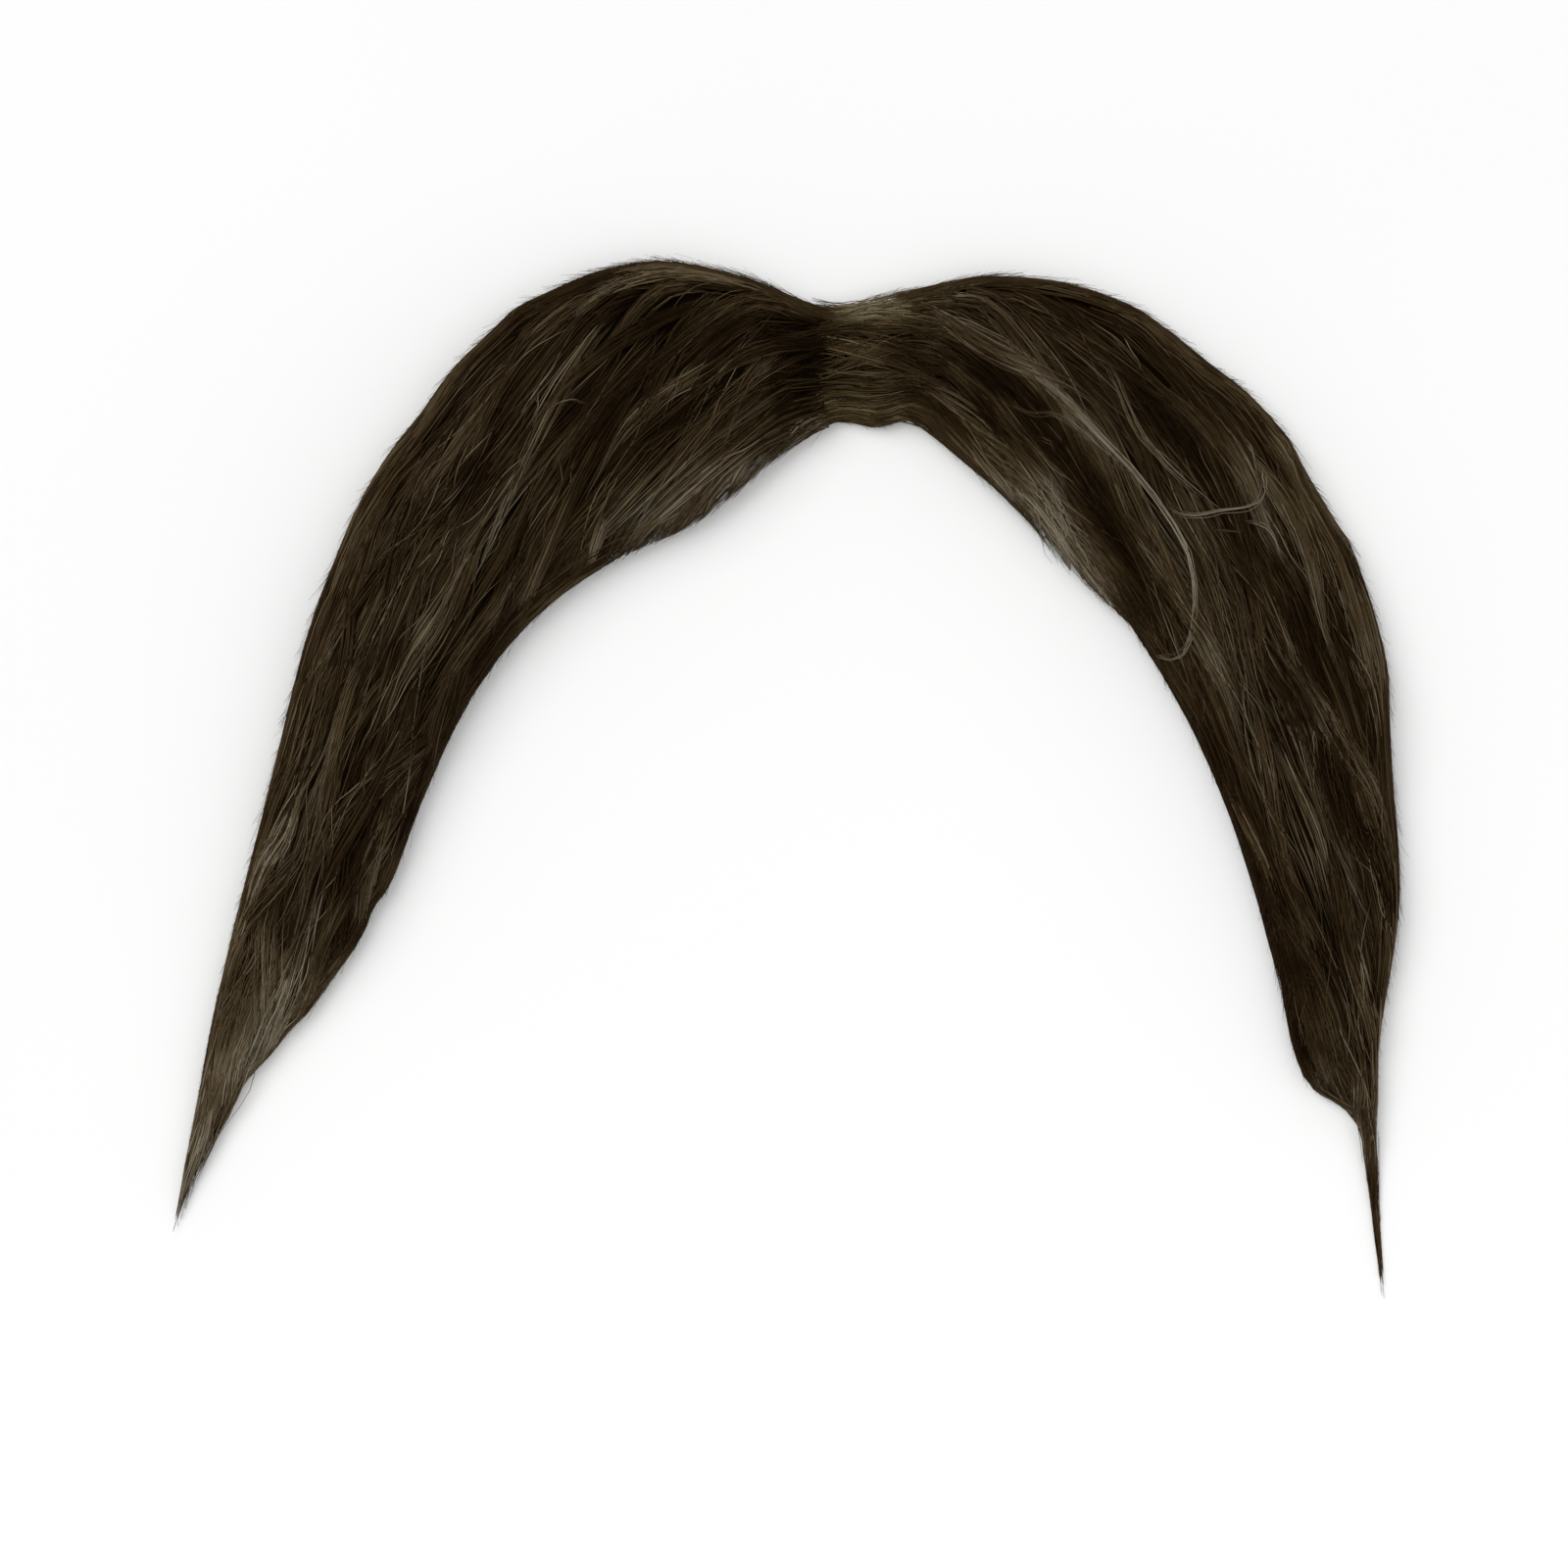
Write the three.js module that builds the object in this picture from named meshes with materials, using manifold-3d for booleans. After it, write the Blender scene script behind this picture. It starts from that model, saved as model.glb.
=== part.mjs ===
// A stick-on costume moustache: two drooping wings of combed hair that meet at a narrow bridge, all of it
// carried by one cloth backing whose underside is the face that sticks to the upper lip.
// It lies on its back. +X is to the viewer's right, +Y is up the face and +Z is out of the face.
// Sizes are in millimetres. The origin is the middle of the bridge, on the underside of the backing.
import * as THREE from "three";
import { mergeVertices } from "three/addons/utils/BufferGeometryUtils.js";
import Module from "manifold-3d";

const wasm = await Module();
wasm.setup();

// Driving dimensions
const CLOTH = 1.2; // thickness of the backing
const CLOTH_INSET = 3; // from the edge of the hair in to the edge of the backing
const CLOTH_END = 0.72; // share of a wing's length that the backing reaches along
const CLOTH_ROOM = 0.004; // share of a wing's length that the hair is kept clear of past the backing's end
const GAP = 0.3; // clearance between two pieces
const EDGE_HEIGHT = 0.8; // top of the hair at its very edge, above the table
const DOME_POWER = 0.5; // 0.5 makes the hair's cross-section a half ellipse
const CORE_SHARE = 0.86; // height of the dense hair under the locks, as a share of the full height
const CORE_EDGE = 0.012; // share of the width that only locks cover, along each edge
const SEAM_LEFT = -4; // x of the crease between the left wing and the bridge
const SEAM_RIGHT = 6.8; // x of the crease between the bridge and the right wing

// Locks of hair: they overlap like shingles from the bridge to the tips.
const LOCK_SIDES = 3; // facets over a lock's rounded top
const LOCK_STEPS = 6; // rings along a lock
const LOCK_OVERLAP = 1.25; // width of a lock over the pitch of the locks across a wing
const LOCK_FLATNESS = 0.34; // rise of a lock's rounded top over its width
const LOCK_FINEST = 0.8; // the narrowest that a lock gets, at the wing's tip
const LOCK_FULLEST = 0.35; // how far along a lock it is at its widest
const LOCK_ROOT = 0.4; // width at the root, as a share of the widest
const LOCK_BURIED = 0.16; // how deep the root is buried, as a share of the hair's height there
const LOCK_TIP = 0.1; // width at the tip, as a share of the widest
const LOCK_TAPER = 1.5; // power of the taper to the tip: over 1 keeps a lock full for longer
const LOCK_SUNK = 0.45; // how deep a lock's underside reaches, as a share of the hair's height there
const LOCK_KEEL = 0.5; // width of that underside, as a share of the lock's width
const LOCK_EDGE = 0.04; // how near to an edge the middle of a lock may run, as a share of the width
const LOCK_STAGGER = [0.7, 0.3]; // where the locks of even and odd rows sit in their share of the width
const ROOT_SCATTER = 0.05; // how far the roots of a row are scattered along the piece, as a share of its length
const REACH_SCATTER = [0.8, 1.2]; // shortest and longest lock, as a share of the row's reach
const SWEEP_SCATTER = [0.5, 1.5]; // least and most sweep of a lock, as a share of the piece's sweep

// The meshes' fineness
const CORE_POINTS = 7; // facets over the core's dome
const BACKING_STATIONS = 12; // points along each edge of a wing's backing
const SLOPE_STEP = 0.01; // step over which the slope of the hair is measured

// The table that everything stands on, as a block to cut away what would sink into it
const TABLE = { size: 400, depth: 40 };

// Sections across each hair piece, from the bridge to the tip: where the section meets the outer (upper) and
// the inner (lower) edge of the hair, and how high the hair's crown stands above its edges there.
const LEFT_SECTIONS = [
  { outerX: -4.0, outerY: 6.8, innerX: -4.0, innerY: -7.6, crown: 5.6 },
  { outerX: -12.4, outerY: 10.4, innerX: -10.0, innerY: -11.6, crown: 7.6 },
  { outerX: -23.2, outerY: 12.4, innerX: -17.6, innerY: -18.0, crown: 9.2 },
  { outerX: -34.4, outerY: 8.8, innerX: -28.4, innerY: -23.2, crown: 9.8 },
  { outerX: -44.8, outerY: 0.8, innerX: -37.2, innerY: -30.0, crown: 9.8 },
  { outerX: -53.6, outerY: -11.2, innerX: -44.0, innerY: -39.2, crown: 9.2 },
  { outerX: -61.2, outerY: -27.2, innerX: -48.8, innerY: -49.2, crown: 8.2 },
  { outerX: -65.6, outerY: -45.2, innerX: -52.4, innerY: -59.2, crown: 6.8 },
  { outerX: -69.2, outerY: -59.2, innerX: -57.2, innerY: -67.2, crown: 5.4 },
  { outerX: -72.0, outerY: -71.2, innerX: -64.4, innerY: -76.0, crown: 4.0 },
  { outerX: -74.8, outerY: -86.4, innerX: -71.4, innerY: -86.8, crown: 2.2 },
  { outerX: -77.2, outerY: -98.2, innerX: -76.6, innerY: -98.6, crown: 0.8 },
];
const RIGHT_SECTIONS = [
  { outerX: 6.8, outerY: 8.8, innerX: 6.8, innerY: -6.4, crown: 5.6 },
  { outerX: 16.0, outerY: 10.4, innerX: 12.8, innerY: -11.2, crown: 7.6 },
  { outerX: 27.2, outerY: 8.8, innerX: 18.8, innerY: -16.8, crown: 9.0 },
  { outerX: 37.6, outerY: 3.2, innerX: 24.8, innerY: -23.6, crown: 9.8 },
  { outerX: 46.8, outerY: -5.2, innerX: 31.2, innerY: -30.0, crown: 9.8 },
  { outerX: 54.0, outerY: -16.0, innerX: 36.4, innerY: -38.0, crown: 9.4 },
  { outerX: 59.6, outerY: -30.0, innerX: 40.8, innerY: -46.4, crown: 8.6 },
  { outerX: 61.2, outerY: -47.2, innerX: 44.8, innerY: -57.2, crown: 7.4 },
  { outerX: 62.0, outerY: -61.2, innerX: 47.6, innerY: -67.2, crown: 6.0 },
  { outerX: 60.4, outerY: -75.0, innerX: 51.0, innerY: -80.6, crown: 4.6 },
  { outerX: 59.5, outerY: -83.0, innerX: 56.8, innerY: -85.2, crown: 2.8 },
  { outerX: 59.5, outerY: -91.5, innerX: 58.3, innerY: -91.5, crown: 1.4 },
  { outerX: 60.8, outerY: -107.0, innerX: 60.2, innerY: -107.2, crown: 0.8 },
];
const BRIDGE_SECTIONS = [
  { outerX: -4.0, outerY: 6.6, innerX: -4.0, innerY: -7.4, crown: 4.2 },
  { outerX: -2.0, outerY: 6.4, innerX: -1.6, innerY: -6.6, crown: 4.0 },
  { outerX: 2.4, outerY: 7.4, innerX: 2.8, innerY: -7.2, crown: 4.2 },
  { outerX: 6.8, outerY: 8.6, innerX: 6.8, innerY: -6.4, crown: 4.8 },
];

// How the hair of each piece is laid: stations along its dense core, rows of locks along it, locks in a row,
// the reach of a lock as a share of the piece's length, and its sweep across, plus towards the inner edge.
const LEFT_LAY = { stations: 18, rows: 5, perRow: 6, reach: 0.4, sweep: 0.14 };
const RIGHT_LAY = { stations: 18, rows: 5, perRow: 6, reach: 0.4, sweep: -0.12 };
const BRIDGE_LAY = { stations: 4, rows: 1, perRow: 4, reach: 1, sweep: 0 };

// Finishes
const WING_HAIR = { color: 0x30281c, roughness: 0.5, metalness: 0 };
const BRIDGE_HAIR = { color: 0x3d3323, roughness: 0.6, metalness: 0 };
const BACKING_CLOTH = { color: 0x3a3027, roughness: 0.95, metalness: 0 };

// A repeatable number from 0 to 1 that stands for the chance in how hair falls.
function chance(seed) {
  const wave = Math.sin(seed * 12.9898) * 43758.5453;
  return wave - Math.floor(wave);
}

function scatter([least, most], seed) {
  return THREE.MathUtils.lerp(least, most, chance(seed));
}

// One piece of hair, as a domed surface between its outer and its inner edge.
class HairPiece {
  constructor(sections) {
    const edge = (x, y) =>
      new THREE.CatmullRomCurve3(sections.map((s) => new THREE.Vector3(s[x], s[y], s.crown)));
    this.outer = edge("outerX", "outerY");
    this.inner = edge("innerX", "innerY");
  }

  // The top of the hair, where across runs from 0 at the outer edge to 1 at the inner, and along from 0 to 1.
  top(across, along) {
    const point = this.outer.getPoint(along).lerp(this.inner.getPoint(along), across);
    const dome = Math.max(0, 4 * across * (1 - across)) ** DOME_POWER;
    return point.setZ(EDGE_HEIGHT + point.z * dome);
  }

  // A point of the plan that lies a given distance in from an edge.
  inset(distance, along, fromInner) {
    const outer = this.outer.getPoint(along).setZ(0);
    const inner = this.inner.getPoint(along).setZ(0);
    const share = Math.min(0.5, distance / outer.distanceTo(inner));
    return outer.lerp(inner, fromInner ? 1 - share : share);
  }

  width(along) {
    return this.top(0, along).distanceTo(this.top(1, along));
  }

  // The way along the hair from its bridge end to its tip.
  ahead(across, along) {
    const before = this.top(across, Math.max(0, along - SLOPE_STEP));
    return this.top(across, Math.min(1, along + SLOPE_STEP)).sub(before);
  }

  // The hair's upward normal, from its slope across and along.
  normal(across, along) {
    const sideways = this.top(across + SLOPE_STEP, along).sub(this.top(across - SLOPE_STEP, along));
    const up = sideways.cross(this.ahead(across, along)).normalize();
    return up.z < 0 ? up.negate() : up;
  }
}

// A closed surface through rings of points, with flat ends.
function loft(rings) {
  const count = rings[0].length;
  const middle = (ring) => ring.reduce((sum, p) => sum.add(p), new THREE.Vector3()).divideScalar(count);
  const path = middle(rings[1]).sub(middle(rings[0]));
  const turn = rings[0].reduce(
    (sum, p, j) => sum.add(p.clone().cross(rings[0][(j + 1) % count])),
    new THREE.Vector3(),
  );
  const points = rings.flatMap((ring) => (turn.dot(path) > 0 ? ring : [...ring].reverse()));
  const faces = [];
  for (let i = 0; i + 1 < rings.length; i += 1) {
    for (let j = 0; j < count; j += 1) {
      const [a, b] = [i * count + j, i * count + ((j + 1) % count)];
      faces.push(a, b, b + count, a, b + count, a + count);
    }
  }
  const last = (rings.length - 1) * count;
  for (let j = 1; j + 1 < count; j += 1) {
    faces.push(0, j + 1, j, last, last + j, last + j + 1);
  }
  return new THREE.BufferGeometry().setFromPoints(points).setIndex(faces);
}

// The dense hair under the locks: flat below, domed above.
function core(hair, { stations }) {
  const rings = [];
  for (let i = 0; i <= stations; i += 1) {
    const along = i / stations;
    const ring = [];
    for (let j = 0; j <= CORE_POINTS; j += 1) {
      const across = (1 - Math.cos((j / CORE_POINTS) * Math.PI)) / 2;
      const height = hair.top(across, along).z * CORE_SHARE;
      ring.push(hair.top(THREE.MathUtils.lerp(CORE_EDGE, 1 - CORE_EDGE, across), along).setZ(height));
    }
    ring.push(ring[CORE_POINTS].clone().setZ(0), ring[0].clone().setZ(0));
    rings.push(ring);
  }
  return loft(rings);
}

// How wide a lock is along its length, as a share of its widest.
function fullness(share) {
  if (share < LOCK_FULLEST) return THREE.MathUtils.lerp(LOCK_ROOT, 1, share / LOCK_FULLEST);
  const taper = (share - LOCK_FULLEST) / (1 - LOCK_FULLEST);
  return THREE.MathUtils.lerp(1, LOCK_TIP, taper ** LOCK_TAPER);
}

// One lock: a flat tapering strand bundle that leaves the dense hair at its root and lies on top of it.
function lock(hair, { across, sweep, root, tip, perRow }) {
  const rings = [];
  for (let i = 0; i <= LOCK_STEPS; i += 1) {
    const share = i / LOCK_STEPS;
    const along = THREE.MathUtils.lerp(root, tip, share);
    const place = THREE.MathUtils.clamp(across + sweep * share, LOCK_EDGE, 1 - LOCK_EDGE);
    const up = hair.normal(place, along);
    const side = up.clone().cross(hair.ahead(place, along)).normalize();
    const top = hair.top(place, along);
    top.addScaledVector(up, -top.z * LOCK_BURIED * Math.max(0, 1 - share / LOCK_FULLEST));
    const widest = Math.max(LOCK_FINEST, (hair.width(along) / perRow) * LOCK_OVERLAP);
    const width = widest * fullness(share);
    const corner = (sideways, depth) =>
      top.clone().addScaledVector(side, sideways * width).addScaledVector(up, -depth);
    const ring = [];
    for (let j = 0; j <= LOCK_SIDES; j += 1) {
      const angle = (j / LOCK_SIDES) * Math.PI;
      ring.push(corner(Math.cos(angle) / 2, width * LOCK_FLATNESS * (1 - Math.sin(angle))));
    }
    const keel = Math.max(width * LOCK_FLATNESS * 2, top.z * LOCK_SUNK);
    ring.push(corner(-LOCK_KEEL / 2, keel), corner(LOCK_KEEL / 2, keel));
    rings.push(ring);
  }
  return loft(rings);
}

// Every lock of a hair piece, row by row, with each row set over from the last.
function locks(hair, { rows, perRow, reach, sweep }) {
  const made = [];
  for (let row = 0; row < rows; row += 1) {
    const rowStart = (row / rows) * (1 - reach / 2);
    for (let place = 0; place < perRow; place += 1) {
      const seed = 1 + row * perRow + place;
      const root = rowStart + (rows > 1 ? ROOT_SCATTER * chance(seed) : 0);
      made.push(
        lock(hair, {
          across: (place + LOCK_STAGGER[row % 2]) / perRow,
          sweep: sweep * scatter(SWEEP_SCATTER, seed + 0.5),
          root,
          tip: Math.min(1, root + reach * scatter(REACH_SCATTER, seed + 0.25)),
          perRow,
        }),
      );
    }
  }
  return made;
}

// A closed geometry as a solid that can be joined and cut.
function solid(geometry) {
  const bare = geometry.clone();
  bare.deleteAttribute("normal");
  bare.deleteAttribute("uv");
  const merged = mergeVertices(bare);
  return new wasm.Manifold(
    new wasm.Mesh({
      numProp: 3,
      vertProperties: merged.attributes.position.array,
      triVerts: new Uint32Array(merged.index.array),
    }),
  );
}

// The outside of a solid as a geometry.
function surface(body) {
  const { vertProperties, triVerts } = body.getMesh();
  const geometry = new THREE.BufferGeometry();
  geometry.setAttribute("position", new THREE.BufferAttribute(vertProperties, 3));
  geometry.setIndex(new THREE.BufferAttribute(triVerts, 1));
  geometry.computeVertexNormals();
  return geometry;
}

// The plan of both wings and the bridge as a slab, drawn in from the edge of the hair and short of the tips.
function slab(left, right, { inset, end, thickness }) {
  const edge = (hair, fromInner) => {
    const points = [];
    for (let i = 0; i <= BACKING_STATIONS; i += 1) {
      points.push(hair.inset(inset, (i / BACKING_STATIONS) * end, fromInner));
    }
    return points;
  };
  const outline = [
    ...edge(left, false).reverse(),
    ...edge(right, false),
    ...edge(right, true).reverse(),
    ...edge(left, true),
  ];
  const plan = new THREE.Shape(outline.map((p) => new THREE.Vector2(p.x, p.y)));
  return new THREE.ExtrudeGeometry(plan, { depth: thickness, bevelEnabled: false });
}

// A block that fills everything on one side of a plane across the table.
function beyond(x, direction) {
  const block = new THREE.BoxGeometry(TABLE.size, TABLE.size, TABLE.size);
  return solid(block.translate(x + (direction * TABLE.size) / 2, 0, 0));
}

// A hair piece: its locks fused to its dense core, clear of the backing below and of its neighbours.
function hairGeometry(hair, lay, cuts) {
  const body = locks(hair, lay).reduce((sum, one) => sum.add(solid(one)), solid(core(hair, lay)));
  return surface(cuts.reduce((rest, cut) => rest.subtract(cut), body));
}

const left = new HairPiece(LEFT_SECTIONS);
const right = new HairPiece(RIGHT_SECTIONS);
const bridge = new HairPiece(BRIDGE_SECTIONS);

const table = solid(
  new THREE.BoxGeometry(TABLE.size, TABLE.size, TABLE.depth).translate(0, 0, -TABLE.depth / 2),
);
const backing = { inset: CLOTH_INSET, end: CLOTH_END, thickness: CLOTH };
const backingRoom = solid(
  slab(left, right, { inset: CLOTH_INSET - GAP, end: CLOTH_END + CLOTH_ROOM, thickness: CLOTH + GAP }),
);
const leftCuts = [table, backingRoom, beyond(SEAM_LEFT - GAP / 2, 1)];
const rightCuts = [table, backingRoom, beyond(SEAM_RIGHT + GAP / 2, -1)];
const bridgeCuts = [table, backingRoom, beyond(SEAM_LEFT + GAP / 2, -1), beyond(SEAM_RIGHT - GAP / 2, 1)];

const moustache = new THREE.Group();

// Each piece is one named mesh with its own finish.
function addPiece(name, geometry, finish) {
  const mesh = new THREE.Mesh(geometry, new THREE.MeshStandardMaterial(finish));
  mesh.name = name;
  moustache.add(mesh);
}

addPiece("backing", slab(left, right, backing), BACKING_CLOTH);
addPiece("left_wing", hairGeometry(left, LEFT_LAY, leftCuts), WING_HAIR);
addPiece("right_wing", hairGeometry(right, RIGHT_LAY, rightCuts), WING_HAIR);
addPiece("bridge", hairGeometry(bridge, BRIDGE_LAY, bridgeCuts), BRIDGE_HAIR);

export default moustache;
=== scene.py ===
"""A stick-on costume moustache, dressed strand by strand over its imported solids.

Two drooping wings of combed hair meet at a short bridge, on a cut cloth backing.
The tables are in millimetres, in the part's own frame: +X to the viewer's right,
+Y up the face and +Z out through the hair. Meshes are built in metres.
"""

import logging
import math
from dataclasses import dataclass, field
from enum import Enum

import bpy
import numpy as np
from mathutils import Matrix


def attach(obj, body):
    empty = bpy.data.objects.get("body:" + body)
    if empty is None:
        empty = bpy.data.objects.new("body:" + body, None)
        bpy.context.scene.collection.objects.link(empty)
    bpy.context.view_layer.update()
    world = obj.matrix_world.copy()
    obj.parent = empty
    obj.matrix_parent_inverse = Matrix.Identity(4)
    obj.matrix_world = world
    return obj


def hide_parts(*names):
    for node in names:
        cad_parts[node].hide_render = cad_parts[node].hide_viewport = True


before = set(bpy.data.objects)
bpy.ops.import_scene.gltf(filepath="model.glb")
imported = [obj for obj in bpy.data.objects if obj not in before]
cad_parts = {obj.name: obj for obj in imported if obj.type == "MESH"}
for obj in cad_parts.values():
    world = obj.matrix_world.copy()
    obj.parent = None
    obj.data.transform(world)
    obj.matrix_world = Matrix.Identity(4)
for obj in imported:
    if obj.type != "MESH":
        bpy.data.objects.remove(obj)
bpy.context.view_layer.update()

MM = 0.001  # a millimetre, in metres
LOWEST_HAIR = 0.16  # the least height of a strand over the table, in millimetres
EDGE_ROLL = 0.06  # how far strands may roll past an edge of their form
PAST_EDGE = 8.0  # a roll above this marks a strand that has left its form
LOOSE_POINTS = 14  # points of a loose strand
FINE_POINTS = 6  # points of a fine hair
ROOT_END = 0.2  # the part of a strand over which it thickens from its root
TIP_START = 0.5  # the part of a strand from which it thins to its tip
NOISE_MIDDLE = 0.5  # the middle of what a noise texture gives

Array = np.ndarray
Span = tuple[float, float]
Colour = tuple[float, float, float]
log = logging.getLogger("moustache")


class Piece(Enum):
    """The moustache's CAD nodes, by the names that they have in the frame."""

    BACKING = "backing"
    LEFT_WING = "left_wing"
    RIGHT_WING = "right_wing"
    BRIDGE = "bridge"


class Slot(Enum):
    """The record's material slots."""

    CLOTH = "backing_cloth"
    WING = "wing_hair"
    BRIDGE = "bridge_hair"


class Change(Enum):
    """What a patch can change, by the name of its field."""

    TINT = "tint"
    THIN = "thin"
    DENT = "dent"


@dataclass(frozen=True)
class Section:
    """One section across a piece of hair, in millimetres.

    Attributes:
        outer: Where it meets the outer, upper edge in plan.
        inner: Where it meets the inner, lower edge in plan.
        crown: How far the hair rises over its edges.
        comb: The way the hair is combed there, in degrees from +X towards +Y.
    """

    outer: tuple[float, float]
    inner: tuple[float, float]
    crown: float
    comb: float


@dataclass(frozen=True)
class Patch:
    """A place where the hair differs from the rest.

    Attributes:
        route: Its middle line in plan, in millimetres.
        reach: How far it spreads from that line, in millimetres.
        tint: What it adds to the tint of the hair; in some patches this is painted shade.
        from_share: The share across the hair, outer to inner, that it starts at.
        thin: The part of the strands that is missing at its middle.
        dent: How far the hair is pressed in at its middle, in millimetres.
    """

    route: tuple[tuple[float, float], ...]
    reach: float
    tint: float
    from_share: float = 0.0
    thin: float = 0.0
    dent: float = 0.0

    def fade(self, points: Array, roll: Array) -> Array:
        """How strong the patch is at points.

        Args:
            points: The points, in millimetres.
            roll: The roll of each.

        Returns:
            Its strength, from 0 to 1.
        """
        plan = points[..., 0:2]
        gap = np.full(plan.shape[:-1], np.inf)
        for start, stop in zip(self.route, self.route[1:]):
            run = np.subtract(stop, start)
            part = np.clip((plan - start) @ run / (run @ run), 0.0, 1.0)
            nearest = start + part[..., None] * run
            gap = np.minimum(gap, np.linalg.norm(plan - nearest, axis=-1))
        strength = np.exp(-((gap / self.reach) ** 2))
        if self.from_share:
            share = (1.0 - np.cos(roll)) / 2.0
            strength = strength * ease(self.from_share, 1.0, share)
        return strength


@dataclass
class Loose:
    """Strands that lie loose over the rest, one entry in each array for each strand.

    Attributes:
        plan: Their points in plan, in millimetres.
        tint: How light they are.
        lift: How far they lie over the hair, in millimetres.
    """

    plan: Array
    tint: Array
    lift: Array


@dataclass(frozen=True)
class Lock:
    """A few strands that lie loose over the combed hair.

    Attributes:
        route: The way they go in plan, in millimetres.
        strands: How many they are.
        spread: How far they stray from the route, in millimetres.
        lift: How far they lie over the hair, in millimetres.
        tint: How light they are.
        stagger: The part of the route at each end that their ends are scattered over.
        taper: The part of the spread that is gone at the end of the route.
    """

    route: tuple[tuple[float, float], ...]
    strands: int = 3
    spread: float = 0.22
    lift: float = 0.36
    tint: float = 0.78
    stagger: float = 0.16
    taper: float = 0.0

    ROUTE_POINTS = 80  # points that the route is laid out in
    FARTHEST = 1.6  # how many times its spread a strand may lie off the route
    DRIFT = 0.25  # how far a strand drifts from point to point, as a part of the spread
    TONE = 0.07  # how far its strands differ in tint
    LIFT = (0.6, 1.2)  # how high a strand lies, against the lift

    def lay(self, rng: np.random.Generator) -> Loose:
        """Lays the lock's strands.

        Args:
            rng: The random numbers.

        Returns:
            The strands.
        """
        count, most = self.strands, self.FARTHEST
        drift = rng.normal(0.0, self.DRIFT * self.spread, (count, LOOSE_POINTS, 2))
        aside = self.spread * np.clip(rng.normal(0.0, 1.0, (count, 1, 2)), -most, most)
        start = self.stagger * rng.random((count, 1))
        stop = 1.0 - self.stagger * rng.random((count, 1))
        place = start + (stop - start) * np.linspace(0.0, 1.0, LOOSE_POINTS)[None]
        route = rows_at(through(np.array(self.route), self.ROUTE_POINTS), place)
        room = (1.0 - self.taper * place)[..., None]
        plan = route + room * (aside + np.cumsum(drift, axis=1))
        tint = self.tint + rng.normal(0.0, self.TONE, count)
        return Loose(plan, tint, self.lift * rng.uniform(*self.LIFT, count))


def ease(low: float, high: float, value: Array) -> Array:
    """A smooth rise from 0 to 1 while value goes from low to high.

    Args:
        low: Where the rise starts.
        high: Where it ends.
        value: The values to look up.

    Returns:
        The rise at each value.
    """
    share = np.clip((value - low) / (high - low), 0.0, 1.0)
    return share * share * (3.0 - 2.0 * share)


def tapered(place: Array, root: float, tip: float) -> Array:
    """How thick a strand is on its way from root to tip.

    Args:
        place: Places on it, from 0 to 1.
        root: The part of its full radius that it has at its root.
        tip: The part that it has at its tip.

    Returns:
        The part of its full radius at each place.
    """
    swelled = root + (1.0 - root) * ease(0.0, ROOT_END, place)
    return swelled * (1.0 - (1.0 - tip) * ease(TIP_START, 1.0, place))


def patched(patches: tuple[Patch, ...], change: Change, points: Array, roll: Array) -> Array:
    """What patches change at points.

    Args:
        patches: The patches.
        change: What is added up.
        points: The points, in millimetres.
        roll: The roll of each.

    Returns:
        The sum at each point.
    """
    total = np.zeros(points.shape[:-1])
    for patch in patches:
        amount = getattr(patch, change.value)
        if amount:
            total = total + amount * patch.fade(points, roll)
    return total


def unit(vectors: Array) -> Array:
    """The vectors along the last axis, at a length of one."""
    return vectors / np.maximum(np.linalg.norm(vectors, axis=-1, keepdims=True), 1e-9)


def through(knots: Array, count: int) -> Array:
    """A smooth curve through knots.

    Args:
        knots: One row of values for each knot.
        count: How many rows are wanted.

    Returns:
        Rows spread evenly over the knots, with the knots' columns.
    """
    spans = len(knots) - 1
    place = np.linspace(0.0, spans, count)
    span = np.minimum(place.astype(int), spans - 1)
    share = (place - span)[:, None]
    first = 2.0 * knots[0] - knots[1]
    last = 2.0 * knots[-1] - knots[-2]
    ends = np.vstack([first, knots, last])
    before, start, stop, after = (ends[span + step] for step in range(4))
    return 0.5 * (
        2.0 * start
        + (stop - before) * share
        + (2.0 * before - 5.0 * start + 4.0 * stop - after) * share**2
        + (3.0 * start - before - 3.0 * stop + after) * share**3
    )


def rows_at(rows: Array, place: Array) -> Array:
    """Looks up rows between whole places.

    Args:
        rows: The rows, evenly spread from 0 to 1.
        place: Where to look, from 0 to 1.

    Returns:
        The values there, with the rows' columns on the last axis.
    """
    at = np.clip(place, 0.0, 1.0) * (len(rows) - 1)
    low = np.minimum(at.astype(int), len(rows) - 2)
    share = (at - low)[..., None]
    return rows[low] * (1.0 - share) + rows[low + 1] * share


@dataclass(frozen=True)
class Swell:
    """A place where an edge of the hair swells out or draws in.

    Attributes:
        at: Its middle on the edge in plan, in millimetres.
        reach: How far it spreads along the edge, in millimetres.
        amount: How far the edge moves out there, in millimetres.
    """

    at: tuple[float, float]
    reach: float
    amount: float

    def push(self, edge: Array, other: Array) -> Array:
        """How far the swell moves an edge.

        Args:
            edge: Points on the edge in plan, in millimetres.
            other: The points across from them on the other edge.

        Returns:
            The move of each point.
        """
        gap = np.linalg.norm(edge - np.array(self.at), axis=1) / self.reach
        return unit(edge - other) * (self.amount * np.exp(-(gap**2)))[:, None]


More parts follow.
